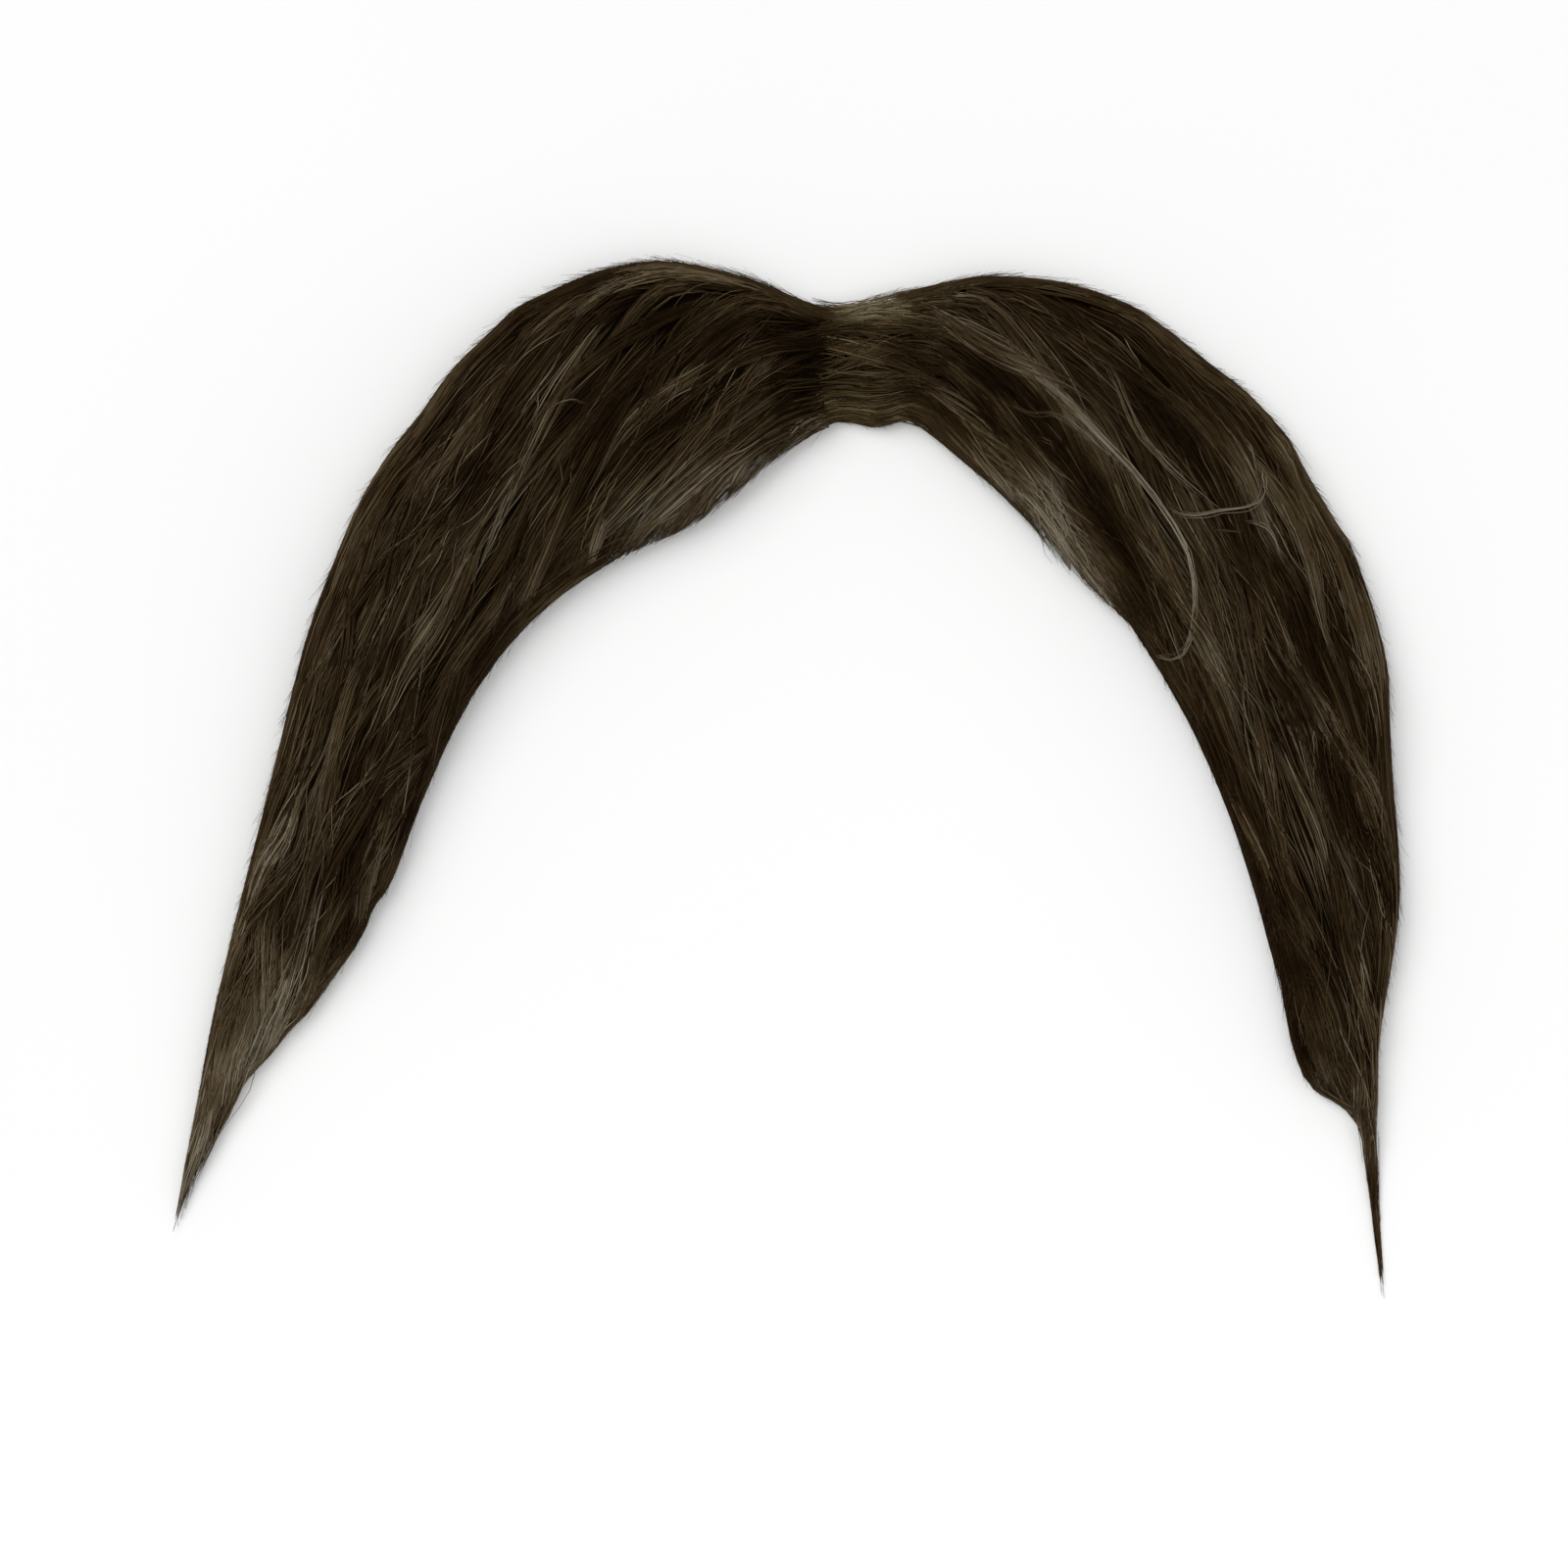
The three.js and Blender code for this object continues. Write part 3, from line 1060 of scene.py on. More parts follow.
@dataclass(frozen=True)
class Undercoat:
    """The short hair under the strands, which closes the gaps between them, painted near black as
    the shade in those gaps.

    Attributes:
        run: How far along the form it starts and ends.
        sink: How far under the form it lies, in millimetres.
        tint: How light it is: near black, a painted shade.
        light: The part of the lighter patches that it shows.
        rolls: The rolls that it starts and ends at.
        drawn_in: How far its inner edge draws in where the hair is thin, in radians.
        edge: The part of its sink that it keeps at its edges.
        cover: How far it lies under the top of the hair at least, in millimetres.
        deepest: The part of the hair's height that it may sink.
        tip: Where along the form it comes up towards the tip.
        tip_rise: The part of its sink that is gone past there.
        bottom: How high its underside is, in millimetres.
        thin: How thick it is at least, in millimetres.
        foot: Where along the form its underside comes down to the table.
        around: How many points it has across.
        stations: How many points it has along.
    """

    run: Span = (0.0, 0.86)
    sink: float = 3.1
    tint: float = 0.06
    light: float = 0.35
    rolls: Span = (0.06 * math.pi, 0.945 * math.pi)
    drawn_in: float = 0.18 * math.pi
    edge: float = 0.06
    cover: float = 0.15
    deepest: float = 0.62
    tip: Span = (0.66, 0.76)
    tip_rise: float = 0.7
    bottom: float = 1.35
    thin: float = 0.06
    foot: Span = (0.76, 0.79)
    around: int = 28
    stations: int = 80

    RIM = 0.9 * math.pi  # the roll at which thin hair at the inner edge is looked up
    STREAK_STEP = 2.4  # how far its streaks go on from point to point, in radians

    def build(self, name: str, form: HairForm, patches: tuple[Patch, ...]) -> bpy.types.Object:
        """Builds the undercoat.

        Args:
            name: The name of the piece.
            form: The form that it lies under.
            patches: Where the hair differs from the rest.

        Returns:
            The undercoat, as a closed skin with its tint.
        """
        stations = np.linspace(*self.run, self.stations)
        rim = np.full(self.stations, self.RIM)
        bare = patched(patches, Change.THIN, form.place(rim, stations)[0], rim)
        first, last = self.rolls
        reach = last - self.drawn_in * np.clip(bare, 0.0, 1.0)
        roll = first + (reach[:, None] - first) * np.linspace(0.0, 1.0, self.around)[None]
        along = np.repeat(stations[:, None], self.around, axis=1)
        points, out = form.place(roll, along)
        light = self.light * np.maximum(patched(patches, Change.TINT, points, roll), 0.0)
        top = points[..., 2] - self.cover
        sink = self.sink * (self.edge + (1.0 - self.edge) * np.sin(roll))
        sink = sink * (1.0 - self.tip_rise * ease(*self.tip, along))
        sink = sink + patched(patches, Change.DENT, points, roll)
        points = points - out * np.minimum(sink, self.deepest * points[..., 2])[..., None]
        bottom = self.bottom * (1.0 - ease(*self.foot, along)) + LOWEST_HAIR
        bottom = np.minimum(bottom, self.bottom)
        points[..., 2] = np.maximum(np.minimum(points[..., 2], top), bottom + self.thin)
        foot = points[:, [-1, 0]].copy()
        foot[..., 2] = bottom[:, [-1, 0]]
        rings = np.concatenate([points, foot], axis=1)
        light = np.concatenate([light, light[:, [-1, 0]]], axis=1)
        if form.turn > 0:
            rings, light = rings[:, ::-1], light[:, ::-1]
        mesh = loft(name, rings)
        # Its tint is painted shade: near black, as the gaps between the strands look
        tint = mesh.attributes.new("tint", "FLOAT", "POINT")
        streak = self.tint * (1.0 + np.sin(self.STREAK_STEP * np.arange(rings.shape[1])))
        value = (streak[None] + light).ravel().astype(np.float32)
        tint.data.foreach_set("value", value)
        return new_piece(name, mesh)


@dataclass(frozen=True)
class Strays:
    """Single strands, scattered over the rest.

    Attributes:
        count: How many are scattered.
        shares: The least and the most share across that they start at.
        run: How far along the form they start.
        length: The shortest and the longest, in millimetres.
        bend: How far they are combed off the comb's way, in degrees.
        curl: How far they turn along their length, in degrees.
        sway: How far they sway, in degrees.
        rate: How often a strand sways, at least and at most.
        tint: The least and the most tint.
        lift: How far they lie over the hair, in millimetres.
        inside: The shares across that they must stay between.
        farthest: How far along the form they may reach.
    """

    count: int = 250
    shares: Span = (0.06, 0.9)
    run: Span = (0.1, 0.84)
    length: Span = (5.0, 18.0)
    bend: float = 9.0
    curl: float = 18.0
    sway: float = 8.0
    rate: Span = (0.6, 1.6)
    tint: Span = (0.5, 0.95)
    lift: Span = (0.06, 0.32)
    inside: Span = (0.03, 0.97)
    farthest: float = 0.98

    CURL_FROM = 0.4  # the part of a strand's length where its turn goes over the comb's way
    DARK_BIAS = 1.5  # above 1, more of the strands are dark than light

    def scatter(self, form: HairForm, rng: np.random.Generator) -> Loose:
        """Scatters the strands over a form.

        Args:
            form: The form.
            rng: The random numbers.

        Returns:
            The strands that stay inside the edges.
        """
        count = self.count
        share = rng.uniform(*self.shares, count)
        along = rng.uniform(*self.run, count)
        place = np.linspace(0.0, 1.0, LOOSE_POINTS - 1)[None]
        heading = rng.normal(0.0, self.bend, (count, 1))
        heading = heading + rng.normal(0.0, self.curl, (count, 1)) * (place - self.CURL_FROM)
        phase = rng.random((count, 1)) + rng.uniform(*self.rate, (count, 1)) * place
        heading = heading + rng.normal(0.0, self.sway, (count, 1)) * np.sin(math.tau * phase)
        paths = form.comb(share, along, heading, rng.uniform(*self.length, count))
        darkest, lightest = self.tint
        tint = darkest + (lightest - darkest) * rng.random(count) ** self.DARK_BIAS
        lift = rng.uniform(*self.lift, count)
        share, along = paths[..., 0], paths[..., 1]
        outer, inner = self.inside
        stays = ((share > outer) & (share < inner) & (along < self.farthest)).all(axis=1)
        roll = np.arccos(1.0 - 2.0 * share[stays])
        points = form.place(roll, along[stays])[0]
        return Loose(points[..., 0:2], tint[stays], lift[stays])


@dataclass(frozen=True)
class Fringe:
    """Fine hair that softens the edges: it starts near an edge and ends just past it.

    Attributes:
        count: How many hairs it has.
        inner: The part of them that is at the inner edge.
        run: How far along the form they start.
        length: The shortest and the longest, in millimetres.
        inset: How far inside the edge they start, in millimetres.
        past: How far past the edge they end, in millimetres.
        tip: Where along the form they come closer to the edge.
        tip_close: The part of past that is gone beyond there.
        thick: The least and the most radius, in millimetres.
        tint: The least and the most tint.
    """

    count: int = 900
    inner: float = 0.45
    run: Span = (0.0, 0.9)
    length: Span = (3.0, 8.0)
    inset: Span = (0.2, 1.8)
    past: float = 0.28
    tip: Span = (0.7, 0.82)
    tip_close: float = 0.8
    thick: Span = (0.02, 0.034)
    tint: Span = (0.3, 0.6)

    FLARE = 1.7  # above 1, a hair leaves the edge late
    COVER = 0.15  # how far its roots lie under the top of the hair, in millimetres
    DROP = 0.45  # the part of its height that a hair loses on its way out
    TAPER = 0.6  # the part of its radius that a hair loses

    def grow(self, form: HairForm, rng: np.random.Generator) -> Strands:
        """Grows the fine hair out of a form's edges.

        Args:
            form: The form.
            rng: The random numbers.

        Returns:
            The strands.
        """
        count = self.count
        inner = (rng.random(count) < self.inner)[:, None, None]
        along = rng.uniform(*self.run, count)[:, None]
        length = rng.uniform(*self.length, count)[:, None]
        inset = rng.uniform(*self.inset, count)[:, None]
        past = np.abs(rng.normal(0.0, self.past, count))[:, None]
        past = past * (1.0 - self.tip_close * ease(*self.tip, along))
        place = np.linspace(0.0, 1.0, FINE_POINTS)[None]
        slope = rows_at(form.slopes, along)
        run = np.linalg.norm(np.where(inner, slope[..., 2:4], slope[..., 0:2]), axis=-1)
        along = along + place * length / run
        row, slope = rows_at(form.rows, along), rows_at(form.slopes, along)
        edge = np.where(inner, row[..., 2:4], row[..., 0:2])
        ahead = unit(np.where(inner, slope[..., 2:4], slope[..., 0:2]))
        across = row[..., 2:4] - row[..., 0:2]
        width = np.linalg.norm(across, axis=-1)
        outward = np.where(inner, across, -across)
        outward = unit(outward - ahead * (outward * ahead).sum(axis=-1, keepdims=True))
        offset = (inset + past) * place**self.FLARE - inset
        plan = edge + outward * offset[..., None]
        share = np.clip(inset / width[:, :1], 0.0, 0.5)
        roll = np.arccos(1.0 - 2.0 * share)
        roll = np.where(inner[..., 0], math.pi - roll, roll)
        top, out = form.place(np.repeat(roll, FINE_POINTS, axis=1), along)
        height = (top[..., 2] - self.COVER) * (1.0 - self.DROP * place)
        height = np.maximum(height, LOWEST_HAIR)
        thick = rng.uniform(*self.thick, (count, 1)) * (1.0 - self.TAPER * place)
        tint = rng.uniform(*self.tint, (count, 1)) + np.zeros_like(place)
        return Strands(np.concatenate([plan, height[..., None]], axis=-1), out, thick, tint)


@dataclass
class HairPiece:
    """A piece of hair: an undercoat painted near black as shade, with layers of strands combed
    over it.

    Attributes:
        piece: The CAD node that it stands for.
        slot: A material slot of the record; not used.
        form: The form that its hair is combed over.
        finish: What its hair looks like.
        layers: Its layers, from the lowest up.
        patches: Where its hair differs from the rest.
        locks: The loose locks that lie over the rest.
        seed: Where its random numbers start.
        coat: Its undercoat.
        strays: The single strands that are scattered over the rest.
        fringe: The fine hair at its edges.
    """

    piece: Piece
    slot: Slot
    form: HairForm
    finish: HairFinish
    layers: tuple[Layer, ...]
    patches: tuple[Patch, ...]
    locks: tuple[Lock, ...]
    seed: int
    coat: Undercoat = Undercoat()
    strays: Strays = Strays()
    fringe: Fringe = Fringe()

    # Where tufts have their roots
    ROOT_RUN = (-0.09, 0.93)  # how far along the form: those below 0 go to the seam
    SEAM_SCATTER = 0.04  # how far along the form the roots at the seam are scattered
    GOLDEN = 0.618034  # the step from root to root across the form, which spreads them evenly
    ROOT_SCATTER = 0.2  # how far a root strays from its step
    SPARE_WIDTH = 3.0  # what narrow places count for more than their width, in millimetres
    TUFT_DEPTH = (0.35, 0.6)  # a tuft's depth, as a part of its half width

    # How the strands of a tuft run
    STEPS = 24  # steps of a tuft's path
    ROOT_WIDTH = 0.7  # the part of its width that a tuft has at its root
    WIDEST = 0.35  # the part of its length at which a tuft is widest
    LOOKS = 40  # places at which a strand is tested for running past an edge
    INNER_RAGGED = 0.04  # how unevenly strands end at the inner edge, in radians
    TIP_RAGGED = 0.05  # how unevenly strands end at the tip of the form
    SHORTEST = 0.12  # the part of its length that a strand must keep
    KINK = 0.06  # how far strands are kinked, in millimetres
    REBOUND = 0.3  # the part of an overshoot at the outer edge that turns back

    # How strands lie under the form
    RISE = 6.0  # the length over which a buried root comes up, in millimetres
    TIP_SINK = 0.3  # how much deeper the tips lie, in millimetres
    TIP_FROM = 0.6  # the part of its length from which a strand sinks to its tip
    WEAVES = 1.4  # how often a tuft rises and dives
    EDGE_SINK = 0.18  # the part of its sink that a strand keeps at an edge
    EDGE_POWER = 1.5  # how fast the sink grows away from an edge
    ROOM = (0.24, 0.28)  # the part of the hair's height to sink into: in thin hair, more in deep
    DEEP_HAIR = (1.0, 5.0)  # the heights at which hair starts and ends to be deep
    PROUD = 0.4  # the part that is kept of how far a strand stands proud

    # How strands look
    TAPER = (0.85, 0.22)  # the part of its radius that a strand has at its root and its tip
    TIP_LIGHT = (-0.1, 0.2)  # what is added to the tint at the root, and more at the tip

    # How loose strands lie
    LEAST_GROUND = 0.6  # the part of the form's height that they lie on at least
    LOOSE_SINK = 0.22  # how far they are pressed into the hair, in millimetres
    MOST_LIFT = 0.25  # how far they may stand off the hair, in millimetres
    SMOOTHINGS = 3  # how often their heights are smoothed
    LOOSE_THICK = (0.045, 0.075)  # their least and most radius, in millimetres
    LOOSE_TAPER = (0.45, 0.3)  # the part of it that they have at their root and their tip
    LOOSE_ROOT = (0.22, 0.25)  # how much darker their roots are, and over what part
    LOOSE_PATCH = 0.6  # the part of the patches' tint that they show

    def build(self) -> list[bpy.types.Object]:
        """Builds and dresses every mesh of the piece.

        Returns:
            The meshes, the undercoat first.
        """
        name = self.piece.value
        rng = np.random.default_rng(self.seed)
        built, grown = [self.coat.build(f"{name}_undercoat", self.form, self.patches)], []
        for layer in self.layers:
            strands = self.grow(layer, self.plant(layer, rng), rng)
            built.append(strands.mesh(f"{name}_{layer.name}"))
            grown.append(strands)
        loose = self.loose_strands(Relief.over(grown), rng)
        built.append(loose.mesh(f"{name}_loose_hair"))
        built.append(self.fringe.grow(self.form, rng).mesh(f"{name}_fine_hair"))
        material = self.finish.material()
        for part in built:
            part.data.materials.append(material)
            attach(part, "root")
            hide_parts(self.piece.value)
        return built

    def plant(self, layer: Layer, rng: np.random.Generator) -> Tufts:
        """Spreads a layer's roots evenly over the form.

        Args:
            layer: The layer.
            rng: The random numbers.

        Returns:
            The layer's tufts.
        """
        count = layer.tufts
        rows, slopes = self.form.rows, self.form.slopes
        span = np.linalg.norm(rows[:, 2:4] - rows[:, 0:2], axis=1) + self.SPARE_WIDTH
        run = np.linalg.norm(slopes[:, 0:2] + slopes[:, 2:4], axis=1)
        fill = np.cumsum(span * run)
        order = (np.arange(count) + rng.random(count)) / count
        along = np.interp(order, fill / fill[-1], np.linspace(*self.ROOT_RUN, len(rows)))
        turn = (np.arange(count) * self.GOLDEN + self.ROOT_SCATTER * rng.random(count)) % 1.0
        roll = math.pi * (layer.band[0] + (layer.band[1] - layer.band[0]) * turn)
        seam = self.SEAM_SCATTER * rng.random(count)
        width = rng.uniform(*layer.width, count)
        return Tufts(
            share=(1.0 - np.cos(roll)) / 2.0,
            along=np.where(along < 0.0, seam, along),
            length=rng.uniform(*layer.length, count),
            width=width,
            depth=width * rng.uniform(*self.TUFT_DEPTH, count),
            sink=rng.uniform(*layer.sink, count),
            buried=np.where(along < 0.0, layer.bury[1], layer.bury[0]),
            tint=rng.uniform(*layer.tint, count),
        )

    def grow(self, layer: Layer, tufts: Tufts, rng: np.random.Generator) -> Strands:
        """Combs a layer's strands over the form.

        Args:
            layer: The layer.
            tufts: Its tufts.
            rng: The random numbers.

        Returns:
            Its strands.
        """
        paths = self.comb_tufts(layer, tufts, rng)
        fan = Fan.draw(layer, len(tufts), rng)
        number = len(fan.owner)
        looks = np.linspace(0.0, 1.0, self.LOOKS)
        everywhere = np.broadcast_to(looks, (number, self.LOOKS))
        roll, along = self.trace(layer, tufts, paths, fan, everywhere)
        limit = math.pi - np.abs(rng.normal(0.0, self.INNER_RAGGED, number)) + EDGE_ROLL
        end = 1.0 - np.abs(rng.normal(0.0, self.TIP_RAGGED, number))
        past = (roll > limit[:, None]) | (along > end[:, None])
        reach = np.where(past.any(axis=1), looks[np.argmax(past, axis=1)], 1.0)
        part = np.linspace(0.0, 1.0, layer.points)[None]
        place = reach[:, None] * part
        roll, along = self.trace(layer, tufts, paths, fan, place)
        roll = np.where(roll > PAST_EDGE, math.pi, roll)
        roll = roll + rng.normal(0.0, self.KINK, roll.shape) / self.form.per_roll(roll, along)
        low = EDGE_ROLL * (1.0 - 2.0 * rng.random(number))[:, None]
        roll = np.where(roll < low, low + self.REBOUND * np.abs(low - roll), roll)
        roll = np.minimum(roll, math.pi + EDGE_ROLL)
        points, out = self.form.place(roll, along)
        sink = self.sinks(layer, tufts, fan, place) + patched(
            self.patches, Change.DENT, points, roll
        )
        points = self.lay_down(points, out, roll, sink)
        root, more = self.TIP_LIGHT
        tint = tufts.tint[fan.owner][:, None] + fan.tone[:, None] + root + more * place
        tint = tint + patched(self.patches, Change.TINT, points, roll)
        keep = (reach > self.SHORTEST) & self.thinned(points, roll, layer.hug, rng)
        return Strands(
            points[keep],
            out[keep],
            (fan.thick[:, None] * tapered(part, *self.TAPER))[keep],
            np.clip(tint[keep], 0.0, 1.0),
        )

    def comb_tufts(self, layer: Layer, tufts: Tufts, rng: np.random.Generator) -> Array:
        """Combs the middle lines of a layer's tufts.

        Args:
            layer: The layer.
            tufts: Its tufts.
            rng: The random numbers.

        Returns:
            The share and the along of each tuft's path, from its root to its tip.
        """
        count = len(tufts)
        bend = rng.normal(0.0, layer.stray, (count, 1))
        wave = rng.normal(0.0, layer.stray, (count, 1))
        phase = rng.random((count, 1)) + np.linspace(0.0, 1.0, self.STEPS)[None]
        heading = bend + wave * np.sin(math.tau * phase)
        return self.form.comb(tufts.share, tufts.along, heading, tufts.length, layer.hug)

    def trace(
        self, layer: Layer, tufts: Tufts, paths: Array, fan: Fan, place: Array
    ) -> tuple[Array, Array]:
        """Finds where strands run on the form.

        Args:
            layer: Their layer.
            tufts: Its tufts.
            paths: The tufts' paths.
            fan: How the strands part from their tufts.
            place: Places on each strand, from 0 at its root to 1 at its tip.

        Returns:
            The roll, which is more than PAST_EDGE past the inner edge, and the along.
        """
        owner = fan.owner[:, None]
        at = fan.first[:, None] + (fan.last - fan.first)[:, None] * place
        step = np.clip(at, 0.0, 1.0) * self.STEPS
        low = np.minimum(step.astype(int), self.STEPS - 1)
        part = (step - low)[..., None]
        spot = paths[owner, low] * (1.0 - part)
        spot = spot + paths[owner, low + 1] * part
        roll = np.arccos(np.clip(1.0 - 2.0 * spot[..., 0], -1.0, 1.0))
        wide = self.ROOT_WIDTH + (1.0 - self.ROOT_WIDTH) * ease(0.0, self.WIDEST, at)
        wide = wide * (1.0 - (1.0 - layer.gather) * ease(self.WIDEST, 1.0, at))
        offset = fan.aside[:, None] * tufts.width[owner] * wide
        swing = np.sin(math.tau * (fan.phase[:, None] + fan.rate[:, None] * at))
        offset = offset + fan.sway[:, None] * swing
        roll = roll + offset / self.form.per_roll(roll, spot[..., 1])
        gone = np.where(spot[..., 0] > 1.0, PAST_EDGE + 1.0, 0.0)
        return roll + gone, spot[..., 1]

    def sinks(self, layer: Layer, tufts: Tufts, fan: Fan, place: Array) -> Array:
        """How far under the form strands would lie in deep hair.

        Args:
            layer: Their layer.
            tufts: Its tufts.
            fan: How the strands part from their tufts.
            place: Places on each strand, from 0 at its root to 1 at its tip.

        Returns:
            The depth at each place, in millimetres.
        """
        owner = fan.owner[:, None]
        sink = tufts.sink[owner] + fan.under[:, None] * tufts.depth[owner]
        rise = (self.RISE / tufts.length)[owner]
        sink = sink + tufts.buried[owner] * (1.0 - ease(0.0, 1.0, place / rise))
        sink = sink + self.TIP_SINK * ease(self.TIP_FROM, 1.0, place)
        wave = np.sin(math.tau * (fan.streak[:, None] + self.WEAVES * place))
        return sink + layer.weave * wave

    def lay_down(self, points: Array, out: Array, roll: Array, sink: Array) -> Array:
        """Lays strands under the form, without room for all of their sink in thin hair.

        Args:
            points: Their points on the form, in millimetres.
            out: The way out of the form at each.
            roll: The roll of each.
            sink: How far each lies under the form in deep hair, in millimetres.

        Returns:
            The points where they lie, in millimetres.
        """
        middle = np.clip(np.sin(roll), 0.0, 1.0) ** self.EDGE_POWER
        sink = sink * (self.EDGE_SINK + (1.0 - self.EDGE_SINK) * middle)
        deep = points[..., 2]
        thin_part, more = self.ROOM
        room = deep * (thin_part + more * ease(*self.DEEP_HAIR, deep))
        sunk = room * (1.0 - np.exp(-np.maximum(sink, 0.0) / room))
        proud = self.PROUD * np.minimum(sink, 0.0) * np.minimum(room, 1.0)
        laid = points - out * (sunk + proud)[..., None]
        laid[..., 2] = np.maximum(laid[..., 2], LOWEST_HAIR)
        return laid

    def thinned(
        self, points: Array, roll: Array, hug: float, rng: np.random.Generator
    ) -> Array:
        """Picks the strands that the patches leave.

        Args:
            points: The strands' points, in millimetres.
            roll: The roll of each.
            hug: How closely the strands follow the inner edge: these go first.
            rng: The random numbers.

        Returns:
            Whether each strand stays.
        """
        stays = np.ones(len(points), dtype=bool)
        for patch in (patch for patch in self.patches if patch.thin):
            gone = (1.0 + hug) * patch.thin * patch.fade(points, roll).max(axis=1)
            stays = stays & (rng.random(len(points)) >= gone)
        return stays

    def loose_strands(self, relief: Relief, rng: np.random.Generator) -> Strands:
        """Makes the locks and the single strands that lie loose over the rest.

        Args:
            relief: The hair that they lie on.
            rng: The random numbers.

        Returns:
            The strands.
        """
        batches = [lock.lay(rng) for lock in self.locks]
        batches.append(self.strays.scatter(self.form, rng))
        plan = np.concatenate([batch.plan for batch in batches])
        lift = np.concatenate([batch.lift for batch in batches])[:, None]
        tint = np.concatenate([batch.tint for batch in batches])[:, None]
        roll, along = self.form.find(plan)
        points, out = self.form.place(roll, along)
        place = np.linspace(0.0, 1.0, LOOSE_POINTS)[None]
        ground = np.maximum(relief.at(plan), self.LEAST_GROUND * points[..., 2])
        height = ground - self.LOOSE_SINK + lift * np.sin(math.pi * place) ** 0.5
        for _ in range(self.SMOOTHINGS):
            middle = 0.25 * height[:, :-2] + 0.5 * height[:, 1:-1] + 0.25 * height[:, 2:]
            height = np.concatenate([height[:, :1], middle, height[:, -1:]], axis=1)
        height = np.maximum(np.minimum(height, ground + self.MOST_LIFT), LOWEST_HAIR)
        thick = rng.uniform(*self.LOOSE_THICK, (len(plan), 1))
        darker, over = self.LOOSE_ROOT
        tint = tint - darker * (1.0 - ease(0.0, over, place))
        tint = tint + self.LOOSE_PATCH * patched(self.patches, Change.TINT, points, roll)
        return Strands(
            np.concatenate([plan, height[..., None]], axis=-1),
            out,
            thick * tapered(place, *self.LOOSE_TAPER),
            np.clip(tint, 0.0, 1.0),
        )


@dataclass
class Backing:
    """The cut cloth that the hair is fixed to.

    Attributes:
        finish: What it looks like.
        thick: How thick it is, in millimetres.
        inset: How far inside the edges of the hair it is cut, in millimetres.
        end: How far along a wing it ends.
        round_over: How far its edges are rounded, in millimetres.
        sheet: The width and length that it is cut from, in metres; not used.
        area: Its area when cut, in square metres; not used.
    """

    finish: ClothFinish = CLOTH_FINISH
    thick: float = 1.2
    inset: float = 3.0
    end: float = 0.7425
    round_over: float = 0.35
    sheet: Span = (0.1257, 0.0844)
    area: float = 0.00337

    STATIONS = 46  # rings along each wing
    ACROSS = 15  # points across its top
    MOST_INSET = 0.36  # the part of the hair's width that the inset may take at each side
    FOOT = 0.5  # the part of the rounding that its underside has
    SIDE = 0.6  # the part of its thickness at which it is widest

    def outline(self, sections: tuple[Section, ...]) -> Array:
        """The cloth's two edges under one wing.

        Args:
            sections: The wing's sections.

        Returns:
            Pairs of outer and inner points in plan, in millimetres.
        """
        form = HairForm(sections)
        row = rows_at(form.rows, np.linspace(0.0, self.end, self.STATIONS))
        outer, inner = row[:, 0:2], row[:, 2:4]
        width = np.linalg.norm(inner - outer, axis=1, keepdims=True)
        inward = (inner - outer) / width
        step = np.minimum(self.inset, self.MOST_INSET * width)
        return np.stack([outer + inward * step, inner - inward * step], axis=1)

    def build(self) -> list[bpy.types.Object]:
        """Builds and dresses the cloth.

        Returns:
            The cloth.
        """
        left = self.outline(LEFT_SECTIONS)[::-1]
        right = self.outline(RIGHT_SECTIONS)
        edges = np.concatenate([left, right])
        share = np.linspace(0.0, 1.0, self.ACROSS)[:, None]
        soft = np.zeros((self.ACROSS, 1))
        soft[0], soft[-1] = self.round_over, -self.round_over
        high = np.full((self.ACROSS, 1), self.thick)
        rings = []
        for outer, inner in edges:
            inward = unit(inner - outer)
            top = outer + (inner - outer) * share + inward * soft
            low_out = np.append(outer + inward * self.round_over * self.FOOT, 0.0)
            low_in = np.append(inner - inward * self.round_over * self.FOOT, 0.0)
            side_in = np.append(inner, self.thick * self.SIDE)
            side_out = np.append(outer, self.thick * self.SIDE)
            ring = np.vstack([np.hstack([top, high]), side_in, low_in, low_out, side_out])
            rings.append(ring)
        cloth = new_piece("cloth_backing", loft("cloth_backing", np.array(rings)))
        cloth.data.materials.append(self.finish.material())
        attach(cloth, "root")
        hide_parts(Piece.BACKING.value)
        return [cloth]


@dataclass(frozen=True)
class Lamp:
    """A soft light that lights the whole table evenly.

    Attributes:
        name: The light's name.
        place: Where it shines from, in metres.
        wide: How wide it looks from the table, in degrees.
        power: How strong it is, in watts a square metre.
    """

    name: str
    place: tuple[float, float, float]
    wide: float
    power: float

    def hang(self) -> None:
        """Hangs the light so that it shines on the origin."""
        light = bpy.data.lights.new(self.name, "SUN")
        light.angle = math.radians(self.wide)
        light.energy = self.power
        lamp = bpy.data.objects.new(self.name, light)
        x, y, z = self.place
        tilt = math.atan2(math.hypot(x, y), z)
        spin = math.atan2(-y, -x) - math.pi / 2.0
        lamp.rotation_euler = (tilt, 0.0, spin)
        lamp.location = self.place
        bpy.context.scene.collection.objects.link(lamp)


